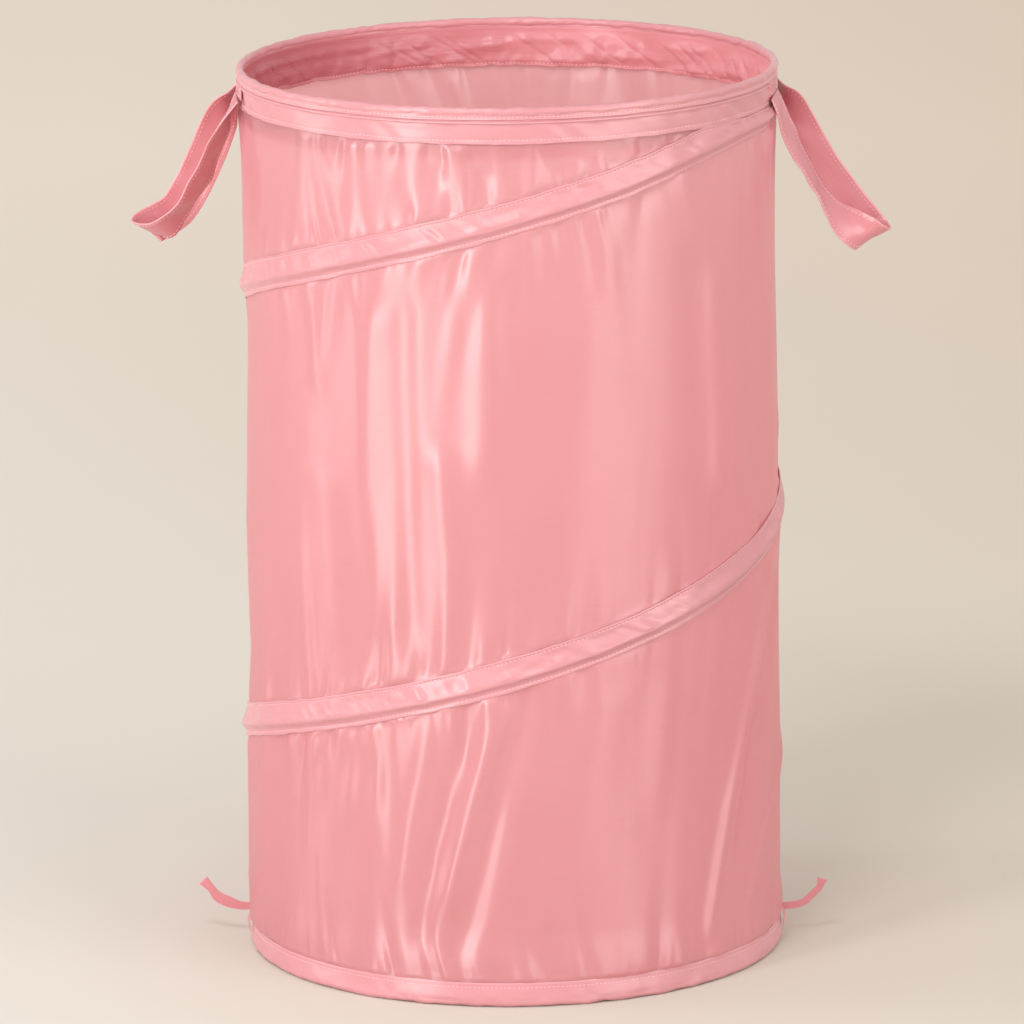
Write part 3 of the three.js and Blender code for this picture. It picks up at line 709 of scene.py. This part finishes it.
def make_spring():
    inset = (CAP_INSET + 0.9) * DEGREES_PER_MM
    centres = spring_centres(np.linspace(SPIRAL_START + inset, SPIRAL_END - inset, 1300))
    radii = np.full(len(centres), WIRE_R)
    radii[[0, -1]] = WIRE_R * 0.6
    piece = tube_along(centres, radii, 10, "spring_wire", STEEL)
    settle(place(piece, "base", "spring_steel", "spiral_spring"))
    # The caps are dipped vinyl, with a thicker lip. The upper one rides on the rim.
    along = np.array([0, 0.15, 0.5, 1.2, 6, 11.2, 11.7, 12]) + CAP_INSET
    radii = np.array([0.8, 1.35, 1.75, 1.95, 1.95, 2.05, 1.95, 1.7])
    for node, end, way, body, anchor in (
            ("spiral_cap_lower", SPIRAL_START, 1, "base", BAND_TOP),
            ("spiral_cap_upper", SPIRAL_END, -1, "rim", STRIP_TOP)):
        centres = spring_centres(end + way * along * DEGREES_PER_MM)
        cap = tube_along(centres, radii, 20, node + "_moulded", VINYL)
        settle(place(cap, body, "vinyl", node))


ROLL_COLUMNS = 54


def roll_sections(degrees, centre_z, up, outer_leg, inner_leg, seed):
    """Paths of a hem rolled over a hoop. up is 1 over the rim and -1 under the base. The legs
    are (r, z) points from the hoop's radius and the roll's middle."""
    arc = np.radians(degrees) * HOOP_R
    wobble = 0.3 * ripple(arc, seed, 11) + 0.17 * ripple(arc, seed + 1, 4.5)
    radii = (2.75 if up > 0 else 3.15) + wobble
    lips = 0.3 * ripple(arc, seed + 2, 17)
    turn = np.radians(np.linspace(-42 if up > 0 else -8, 222, 15))
    last = len(inner_leg) - 1
    out = []
    for radius, lip in zip(radii, lips):
        path = [(HOOP_R + r, -up * (z + (lip if i == 0 else 0)))
                for i, (r, z) in enumerate(outer_leg)]
        path += [(HOOP_R + (radius - 0.25) * math.cos(a), up * radius * math.sin(a))
                 for a in turn]
        path += [(HOOP_R - r, -up * (z + (lip if i == last else 0)))
                 for i, (r, z) in enumerate(inner_leg)]
        out.append(refine([(r, centre_z + z) for r, z in path], ROLL_COLUMNS))
    out = np.stack(out)
    across = np.arange(ROLL_COLUMNS)[None, :] * 0.45
    crease = 0.34 * cloud(arc[:, None] + 0.8 * across, across + 30, seed + 3, 9, 5)
    crease = crease + 0.2 * cloud(arc[:, None] - 1.4 * across, across + 60, seed + 4, 4.5, 7)
    outward = unit(out - [HOOP_R, centre_z])
    crease = crease * smooth(across, 1.5, 4) * (1 - smooth(across, 20, 23))
    return out + outward * crease[..., None]


def ring_run(sections, degrees, column, inward=False):
    """A closed run along one column of a ring's surface, for its stitches."""
    row = cylinder(sections[:, column, 0], degrees, sections[:, column, 1])
    row = np.vstack([row, row[:1]])
    normal = normals_of(row)
    return row, -normal if inward else normal


def ring_cloth(name, material, slot, body, node, paths, degrees, thickness, worn=(),
               wear=0.0):
    """A ring of cloth along paths of (r, z) points, one for each angle."""
    sections = thicken(paths, thickness)
    points = cylinder(sections[..., 0], degrees[:, None], sections[..., 1])
    u = np.radians(np.append(degrees, degrees[0] + 360)) * HOOP_R
    piece = grid_object(name, points, u, outline_lengths(sections[0]), material, ring=True,
                        tube=True, worn=worn, wear=wear)
    return place(face_outward(piece), body, slot, node)


def make_rim():
    degrees = around(640)
    outside = [(2.3, 4.7), (2.15, 4.2), (1.7, 3.2), (1.85, 2.4)]
    inside = [(1.85, 2.4), (1.75, 3.1), (2.0, 3.9)]
    paths = roll_sections(degrees, ROLL_Z, 1, outside, inside, 101)
    roll = ring_cloth("rim_roll_cloth", BAND, "band_cloth", "rim", "rim_casing", paths, degrees,
                      0.55, [0, 1, 52, 53, 54], 0.5)
    return ring_run(paths, degrees, 5)


def hem_section(degrees):
    """Outer surface of the hem band below the roll, with the tuck at its top."""
    path = [(178.3, 593.0), (178.4, 591.6), (178.25, 590.9), (178.8, 590.3), (179.25, 589.8),
            (179.3, 589.2), (178.75, 588.7), (178.45, 588.1), (178.5, 586), (178.5, 583),
            (178.5, 580), (178.35, 578.2), (178.7, 576.8), (178.75, 576.0), (178.55, HEM_BOTTOM)]
    base = refine(path, 44)
    arc = np.radians(degrees)[:, None] * HOOP_R
    z = base[:, 1][None, :]
    inside = smooth(z, 575.5, 579.5) * (1 - smooth(z, 586.5, 589))
    drag = arc + 1.1 * (z - 583)
    wrinkle = 0.9 * ripple(drag, 111, 10) * smooth(ripple(arc, 112, 70), -0.5, 0.7)
    wrinkle = wrinkle + 0.65 * cloud(arc, z, 113, 20, 8)
    # It is pulled most beside the two handles.
    front = angle_from(FRONT, degrees[:, None])
    near = np.exp(-((front - 78) / 11) ** 2) + np.exp(-((front + 80) / 9) ** 2)
    wrinkle = wrinkle * (1 + 1.2 * near)
    low = 0.35 * ripple(arc, 114, 12) + 0.2 * ripple(arc, 115, 5)
    low = low * (1 - smooth(z, 576, 582))
    tuck = 0.25 * ripple(arc, 116, 26) * smooth(z, 587, 590) * (1 - smooth(z, 590, 592))
    r = base[:, 0][None, :] + inside * wrinkle + tuck + 0.12 * ripple(arc, 117, 6) * (1 - inside)
    return np.stack(np.broadcast_arrays(r, z + low), axis=-1)


def make_hem():
    degrees = around(800)
    sections = hem_section(degrees)
    hem = ring_cloth("top_hem_cloth", BAND, "band_cloth", "rim", "top_hem_band", sections,
                     degrees, -0.5, [13, 14, 15, 42, 43, 44], 0.4)
    return ring_run(sections, degrees, int(np.argmin(np.abs(sections[0, :, 1] - HEM_STITCH_Z))))


def facing_section(degrees):
    """Inner surface of the facing, drawn into slanting puckers, with a scalloped lower edge."""
    arc = np.radians(degrees)[:, None] * HOOP_R
    v = np.linspace(0, 1, 30)[None, :]
    z = FACING_TOP - v * (FACING_TOP - FACING_BOTTOM - 0.6)
    scallop = 0.75 * ripple(arc, 121, 8) + 0.5 * ripple(arc, 122, 19)
    z = z + scallop * smooth(v, 0.7, 1.0)
    lean = arc + 26 * v * (0.5 + 0.9 * ripple(arc, 123, 120))
    big = np.maximum(0, ripple(lean, 124, 17)) ** 1.3
    small = ripple(lean, 125, 7)
    window = smooth(v, 0.08, 0.4) * (1 - 0.35 * smooth(v, 0.8, 1))
    strength = 0.7 + 0.3 * smooth(ripple(arc, 126, 90), -0.6, 0.5)
    drag = cloud(arc + 2.2 * (z - 580), z + 30, 127, 30, 5.5)
    fine = ripple(arc + 0.5 * z, 128, 5) * smooth(v, 0.55, 0.9)
    slant = arc + 34 * v * (1 + 0.4 * ripple(arc, 129, 60))
    crease = (1 - np.abs(ripple(slant, 130, 12))) ** 6
    inward = window * strength * (2.6 * big + 0.9 * small + 1.9 * drag + 1.0 * fine
                                  - 1.7 * crease + 2.2)
    inward = inward - 0.35 * np.exp(-((v - 0.93) / 0.03) ** 2)
    r = 175.4 - (inward + np.sqrt(inward ** 2 + 0.6)) / 2
    return np.stack(np.broadcast_arrays(r, z), axis=-1)


def make_facing():
    degrees = around(760)
    sections = facing_section(degrees)
    facing = ring_cloth("rim_facing_cloth", LINING, "lining_cloth", "rim", "rim_facing",
                        sections, degrees, 0.5, [28, 29, 30], 0.35)
    return ring_run(sections, degrees, 27, inward=True)


def make_band():
    """The band round the foot. It returns the run of its stitches."""
    degrees = around(720)
    outside = [(1.1, 12.9), (1.4, 12.3), (1.55, 10.0), (1.95, 7.6), (2.45, 4.8), (2.8, 2.4)]
    inside = [(2.5, 2.9), (1.5, 4.0), (1.45, 5.3)]
    paths = roll_sections(degrees, BASE_ROLL_Z, -1, outside, inside, 131)
    paths[..., 1] = np.maximum(paths[..., 1], 0.05)
    arc = np.radians(degrees)[:, None] * HOOP_R
    r, z = paths[..., 0], paths[..., 1]
    wave = 0.35 * ripple(arc + 0.9 * z, 134, 9) + 0.35 * cloud(arc, z, 135, 22, 7)
    wave = wave * smooth(z, 3, 8) * (1 - 0.6 * smooth(z, 11, 16))
    paths[..., 0] += np.where(r > HOOP_R, wave, 0)
    band = ring_cloth("base_band_cloth", BAND, "band_cloth", "base", "base_hem_band", paths,
                      degrees, -0.55, [0, 1, 2, 53], 0.4)
    # The first 20 columns are the band's outside.
    return [ring_run(paths, degrees, int(np.argmin(np.abs(paths[0, :20, 1] - BAND_STITCH_Z))))]


def make_floor_panel():
    radii = np.concatenate([np.linspace(0.5, 150, 60), np.linspace(152, 174.6, 20)])
    d, r = np.meshgrid(around(480), radii, indexing="ij")
    arc = np.radians(d) * HOOP_R
    pucker = 0.5 * ripple(arc, 141, 9) * smooth(r, 135, 168)
    sag = 0.35 * cloud(r * np.cos(np.radians(d)) + 400, r * np.sin(np.radians(d)) + 400,
                       142, 45, 45, 900)
    z = 1.25 + np.maximum(pucker + sag * smooth(r, 0, 30), -0.8) * (1 - smooth(r, 168, 174.6))
    disc = grid_object("base_panel_cloth", cylinder(r, d, z), np.append(arc[:, -1], HOOP_GIRTH),
                       radii, LINING, ring=True)
    # The weave runs straight across the panel.
    mesh = disc.data
    index = np.empty(len(mesh.loops), int)
    mesh.loops.foreach_get("vertex_index", index)
    co = np.empty(len(mesh.vertices) * 3)
    mesh.vertices.foreach_get("co", co)
    flat = co.reshape(-1, 3)[index][:, :2].astype(np.float32)
    mesh.uv_layers[0].data.foreach_set("uv", flat.ravel())
    place(disc, "base", "lining_cloth", "base_panel")


def make_binding():
    """The tape over the base seam, inside. It returns the runs of its stitches."""
    degrees = around(720)
    arc = np.radians(degrees)[:, None] * HOOP_R
    path = refine([(175.25, BINDING_LOW), (174.9, 9.9), (175.1, 11.0), (174.75, 13.8),
                   (175.1, 16.6), (174.9, 17.7), (175.25, BINDING_HIGH)], 18)
    inner = np.stack(np.broadcast_arrays(path[:, 0][None] + 0.2 * ripple(arc, 151, 7),
                                         path[:, 1][None] + 0.25 * ripple(arc, 152, 11)), axis=-1)
    tape = ring_cloth("base_binding_cloth", LINING, "lining_cloth", "base", "base_seam_binding",
                      inner, degrees, -0.6)
    return [ring_run(inner, degrees, column, inward=True) for column in (4, 13)]


def seam_wave(z):
    return 0.25 * ripple(z, 161, 21, 1200)


def make_side_seam():
    z = np.linspace(18.6, 565.7, 180)
    across = np.array([-5, -4.6, -3.9, -2, 0, 2, 3.9, 4.6, 5])
    proud = np.array([0.15, 0.75, 0.5, 0.7, 0.75, 0.7, 0.5, 0.75, 0.15])
    zz, aa = np.meshgrid(z, across, indexing="ij")
    wall = wall_r(zz) + bulge(np.full_like(zz, SEAM_DEG), zz)
    front_r = wall - 1.85 - proud[None] - 0.1 * ripple(zz, 162, 6, 1200)
    a = SEAM_DEG + np.degrees((aa + seam_wave(zz)) / PANEL_R)
    tape = strip_object("side_seam_tape", cylinder(front_r, a, zz),
                        cylinder(wall - 1.8, a, zz), z, LINING)
    settle(place(tape, "base", "lining_cloth", "side_seam_binding"))
    runs = []
    z = np.linspace(19, 565, 400)
    for off in (2.6, 6.6):
        a = np.full_like(z, SEAM_DEG + math.degrees(off / PANEL_R))
        row = cylinder(wall_r(z) + wall_offset(a, z) + 0.35, a, z)
        runs.append((row, normals_of(row)))
    for off in (-3.9, 3.9):
        a = SEAM_DEG + np.degrees((off + seam_wave(z)) / PANEL_R)
        row = cylinder(wall_r(z) + bulge(a, z) - 2.35, a, z)
        runs.append((row, -normals_of(row)))
    settle(place(stitches("side_seam_stitches", runs), "base", "satin_cloth"))


# ---------------------------------------------------------------- handles and ties

STRAP_W, STRAP_T = 25.0, 1.2
HANDLE_LENGTH, HANDLE_SPREAD, HANDLE_LIFT, HANDLE_LEAN = 122.0, 30.0, 60.0, 32.0
HANDLE_ROOT_R, HANDLE_ROOT_Z = 180.1, 582.0
TAB_R = 179.0
# Each handle's place round the rim and its stations: shares of the length, the spread to a side
# and the lift, and the share of a half turn that the strap is twisted.
HANDLES = {
    "handle_right": (-3.0, [
        (0, -1, 0, 0.053), (0.1, -0.97, -0.05, 0.07), (0.2, -0.82, -0.12, 0.09),
        (0.4, -0.6, -0.19, 0.07), (0.56, -0.5, -0.21, 0.06), (0.71, -0.45, -0.21, 0.12),
        (0.83, -0.42, -0.15, 0.3), (0.94, -0.3, -0.05, 0.45), (0.975, 0, 0, 0.5),
        (0.9, 0.28, -0.03, 0.5), (0.72, 0.35, -0.07, 0.5), (0.5, 0.45, -0.1, 0.5),
        (0.3, 0.63, -0.09, 0.51), (0.175, 0.835, -0.04, 0.66), (0.085, 0.97, -0.008, 0.87),
        (0, 1, 0, 0.947)]),
    "handle_left": (178.5, [
        (0, -1, 0, 0.053), (0.1, -0.97, -0.02, 0.15), (0.22, -0.79, -0.05, 0.4),
        (0.42, -0.5, -0.12, 0.5), (0.62, -0.38, -0.16, 0.5), (0.76, -0.34, -0.15, 0.5),
        (0.86, -0.28, -0.05, 0.46), (0.92, 0, 0.03, 0.4), (0.87, 0.28, -0.1, 0.3),
        (0.75, 0.36, -0.17, 0.17), (0.62, 0.42, -0.18, 0.14), (0.5, 0.46, -0.18, 0.17),
        (0.38, 0.54, -0.14, 0.13), (0.26, 0.7, -0.1, 0.13), (0.12, 0.96, -0.03, 0.02),
        (0, 1, 0, -0.053)]),
}


def ribbon(name, places, sides, widths, thickness, steps, seed, crumple):
    """A folded strap along stations, with soft edges and small creases across it, and the runs
    of the stitches along both its edges."""
    shares = np.linspace(0, 1, steps)
    route = curve(places, shares)
    side = curve(sides, shares)
    width = curve([(w, 0, 0) for w in widths], shares)[:, 0]
    along = unit(np.gradient(route, axis=0))
    side = unit(side - np.einsum("ij,ij->i", side, along)[:, None] * along)
    face = np.cross(side, along)
    x = np.array([-1, -0.97, -0.88, -0.78, -0.6, -0.3, 0, 0.3, 0.6, 0.78, 0.88, 0.97, 1])
    half = np.array([0.18, 0.42, 0.5, 0.36, 0.44, 0.46, 0.46])
    half = np.append(half, half[-2::-1])
    lengths = run_lengths(route)
    wave = crumple * (0.6 * cloud(lengths[:, None], (x * 9 + 20)[None, :], seed, 11, 6, 900)
                      + 0.5 * ripple(lengths[:, None] + 5 * x[None, :], seed + 1, 17, 900))
    quiet = smooth(lengths, 3, 16) * (1 - smooth(lengths, lengths[-1] - 16, lengths[-1] - 3))
    wave = wave * quiet[:, None]
    mid = route[:, None] + side[:, None] * (x[None, :, None] * width[:, None, None] / 2) \
        + face[:, None] * wave[..., None]
    proud = face[:, None] * (half * thickness)[None, :, None]
    up, down = mid + proud, mid - proud
    piece = strip_object(name, up, down, lengths, STRAP, [0, 1, 11, 12, 13, 14, 24, 25], 0.5)
    runs = []
    for k in (3, 9):
        runs += [(up[4:-4, k], face[4:-4]), (down[4:-4, k], -face[4:-4])]
    return piece, runs


def turned(points, degrees, r, z):
    """From a handle's or tie's own frame, +X outward, to its place round the hamper."""
    a = math.radians(degrees)
    turn = np.array([[math.cos(a), math.sin(a), 0], [-math.sin(a), math.cos(a), 0], [0, 0, 1]])
    return np.asarray(points, float) @ turn + [r * math.cos(a), r * math.sin(a), z]


def make_handles():
    lean = math.radians(HANDLE_LEAN)
    along = np.array([math.sin(lean), 0, -math.cos(lean)])
    lift = np.array([math.cos(lean), 0, math.sin(lean)])
    sideways = np.array([0, 1.0, 0])
    set_in = HANDLE_ROOT_R - math.sqrt(HANDLE_ROOT_R ** 2 - HANDLE_SPREAD ** 2)
    for seed, (name, (degrees, stations)) in enumerate(HANDLES.items()):
        places, sides = [], []
        for run, across, up, half_turn in stations:
            place_at = along * HANDLE_LENGTH * run + sideways * HANDLE_SPREAD * across \
                + lift * HANDLE_LIFT * up
            place_at[0] -= set_in * max(0, 1 - run / 0.25)
            places.append(place_at)
            a = math.pi * half_turn
            sides.append(sideways * math.cos(a) + lift * math.sin(a))
        places = turned(places, degrees, HANDLE_ROOT_R, HANDLE_ROOT_Z)
        sides = turned(sides, degrees, 0, 0)
        strap, runs = ribbon(name + "_strap", places, sides, [STRAP_W] * len(places), STRAP_T,
                             220, 171 + seed * 5, 1.25)
        threads = stitches(name + "_stitches", runs)
        place(strap, name, "strap_cloth", name)
        place(threads, name, "strap_cloth")
        for piece in (strap, threads):
            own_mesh(piece)
        make_handle_tabs(name, degrees)


def make_handle_tabs(name, degrees):
    """The sewn ends of a handle: from under the rim's roll down to where the strap swings."""
    x = np.array([-1, -0.97, -0.88, -0.78, -0.4, 0, 0.4, 0.78, 0.88, 0.97, 1]) * STRAP_W / 2
    z, x = np.meshgrid(np.linspace(592.2, 581.4, 14), x, indexing="ij")
    thick = np.array([0.1, 0.45, 0.75, 0.55, 0.7, 0.75, 0.7, 0.55, 0.75, 0.45, 0.1])
    stand = thick[None] * (0.55 + 0.45 * smooth(592.5 - z, 0, 2))
    runs = []
    for number, way in enumerate((-1, 1)):
        centre = degrees + way * math.degrees(math.asin(HANDLE_SPREAD / HANDLE_ROOT_R))
        a = centre + np.degrees(x / HANDLE_ROOT_R)
        tab = strip_object(f"{name}_tab_{number + 1}", cylinder(TAB_R + stand, a, z),
                           cylinder(TAB_R - 0.4, a, z), z[:, 0], STRAP)
        place(tab, "rim", "strap_cloth")
        sideways = centre + np.degrees(np.linspace(-9.5, 9.5, 12) / HANDLE_ROOT_R)
        rows = [cylinder(TAB_R + 0.65, sideways, row_z) for row_z in (590.2, 583.2)]
        rows += [cylinder(TAB_R + 0.6, centre + math.degrees(off / HANDLE_ROOT_R),
                          np.linspace(590, 583, 8)) for off in (-9.7, 9.7)]
        runs += [(row, normals_of(row)) for row in rows]
    place(stitches(name + "_tab_stitches", runs), "rim", "strap_cloth")


TIE_ROOT_R, TIE_ROOT_Z = 177.8, 19.0
TIE_REACH, TIE_RISE, TIE_W = 35, 18, 6
# Each tie's place round the foot and its stations: shares of the reach, rise and width.
TIES = {
    "tie_left": (177.0, [(0, 0, 0.8), (0.3, 0.02, 1), (0.54, 0.18, 1.3), (0.72, 0.36, 1.2),
                         (0.84, 0.66, 0.9), (1, 1, 1.25)]),
    "tie_right": (-2.0, [(0, 0, 0.85), (0.28, 0.04, 0.85), (0.5, 0.18, 0.8), (0.66, 0.48, 0.8),
                        (0.78, 0.72, 0.75), (0.84, 1.06, 1.15)]),
}


def make_ties():
    for seed, (name, (degrees, stations)) in enumerate(TIES.items()):
        places = turned([(TIE_REACH * reach, 0, TIE_RISE * rise) for reach, rise, _ in stations],
                        degrees, TIE_ROOT_R, TIE_ROOT_Z)
        sides = turned([(-rise, 0, 1) for _, rise, _ in stations], degrees, 0, 0)
        widths = [TIE_W * w for _, _, w in stations]
        piece, _ = ribbon(name + "_ribbon", places, sides, widths, 1.1, 60, 191 + seed * 5, 0.35)
        place(piece, name, "strap_cloth", name)
    for name, degrees in (("tie_loop_left", 185.0), ("tie_loop_right", -5.0)):
        places = turned([(181.1, 0, 9.5), (181.7, 0, 16.8), (178.3, 0, 24.0)], degrees, 0, 0)
        sides = turned([(0, 1, 0)] * 3, degrees, 0, 0)
        piece, _ = ribbon(name + "_ribbon", places, sides, [7, 6.6, 7], 0.8, 24, 203, 0.2)
        place(piece, "base", "strap_cloth", name)


# ---------------------------------------------------------------- stage, light and camera

LAMP_COLOUR = (1.0, 0.985, 0.97)


def make_stage():
    material, tree, shader, _ = new_material("paper_sweep")
    spot = add(tree, "TexCoord").outputs["Object"]
    x, y, _ = add(tree, "SeparateXYZ", {0: spot}).outputs
    # Painted shade and painted light: the floor's colour is darker to the right, as in the lamps'
    # falloff, and darker near the camera and lighter far off, to make up for how the lamps light
    # it.
    plain = mix_colour(tree, ranged(tree, x, -0.45, 0.65, 0, 1),
                       (0.81, 0.715, 0.625, 1), (0.735, 0.615, 0.50, 1))
    near = mix_colour(tree, 1.0, plain, (0.80, 0.885, 0.93, 1), "MULTIPLY")
    far = mix_colour(tree, 1.0, plain, (1.19, 1.19, 1.19, 1), "MULTIPLY")
    plain = mix_colour(tree, ranged(tree, y, -0.5, 3.0, 0, 1), near, far)
    spread = ranged(tree, noise(tree, spot, 3.0, 3.0), 0.3, 0.7, 0, 0.04)
    fill(tree, shader, {"Base Color": mix_colour(tree, spread, plain, (0.9, 0.82, 0.73, 1)),
                        "Roughness": 0.9, "Specular IOR Level": 0.1})
    mesh = bpy.data.meshes.new("floor")
    mesh.from_pydata([(-30, -30, 0), (30, -30, 0), (30, 30, 0), (-30, 30, 0)], [],
                     [[0, 1, 2, 3]])
    mesh.materials.append(material)
    floor = bpy.data.objects.new("floor", mesh)
    bpy.context.scene.collection.objects.link(floor)

    world = bpy.data.worlds.new("studio")
    bpy.context.scene.world = world
    world.use_nodes = True
    tree = world.node_tree
    tree.nodes.clear()
    lighting = add(tree, "Background", {"Color": (*LAMP_COLOUR, 1), "Strength": 0.75})
    seen = add(tree, "Background", {"Color": (0.80, 0.71, 0.61, 1)})
    both = add(tree, "MixShader", {0: add(tree, "LightPath").outputs["Is Camera Ray"],
                                   1: lighting.outputs[0], 2: seen.outputs[0]})
    add(tree, "OutputWorld", {0: both.outputs[0]})


def softbox(name, azimuth, distance, height, aim, width, tall, power):
    """A lamp, in metres. azimuth is 0 at the front and grows to the right."""
    a = math.radians(azimuth)
    data = bpy.data.lights.new(name, "AREA")
    data.shape = "RECTANGLE"
    data.size, data.size_y = width, tall
    data.energy = power
    data.color = LAMP_COLOUR
    lamp = bpy.data.objects.new(name, data)
    lamp.location = (distance * math.sin(a), -distance * math.cos(a), height)
    towards = Vector((0, 0, aim)) - lamp.location
    lamp.rotation_euler = towards.to_track_quat("-Z", "Y").to_euler()
    bpy.context.scene.collection.objects.link(lamp)


def make_lights():
    softbox("key", -42, 2.6, 0.85, 0.3, 0.6, 1.7, 35)
    softbox("side_strip", -88, 2.6, 0.85, 0.3, 0.5, 1.7, 14)
    softbox("fill", 46, 3.2, 1.15, 0.25, 2.0, 2.0, 42)
    softbox("high", -16, 1.9, 2.3, 0.5, 0.7, 0.5, 18)


# The photograph's view, from a fit to the rim, the wall, the seams and the foot.
LENS = 287.8  # on a 36 mm sensor
EYE = (0, -5.35, 1.5135)  # in metres
LOOK_DOWN = 12.85
ROLL = -0.0116  # in radians


def make_camera():
    data = bpy.data.cameras.new("camera")
    data.sensor_width = 36.0
    data.lens = LENS
    camera = bpy.data.objects.new("camera", data)
    camera.matrix_world = (Matrix.Translation(EYE)
                           @ Matrix.Rotation(math.radians(90 - LOOK_DOWN), 4, "X")
                           @ Matrix.Rotation(ROLL, 4, "Z"))
    bpy.context.scene.collection.objects.link(camera)
    bpy.context.scene.camera = camera


make_camera()
make_wall()
make_casing()
make_spring()
rim_runs = [make_rim(), make_hem(), make_facing()]
band_runs = make_band()
make_floor_panel()
base_runs = band_runs + make_binding()
place(stitches("rim_stitches", rim_runs), "rim", "band_cloth")
place(stitches("base_stitches", base_runs), "base", "band_cloth")
make_side_seam()
make_handles()
make_ties()
for node in ("top_hoop", "top_hoop_ferrule", "base_hoop", "base_hoop_ferrule"):
    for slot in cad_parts[node].material_slots:
        slot.material = STEEL
make_stage()
make_lights()
bpy.context.scene.view_settings.view_transform = "Standard"
bpy.context.view_layer.update()
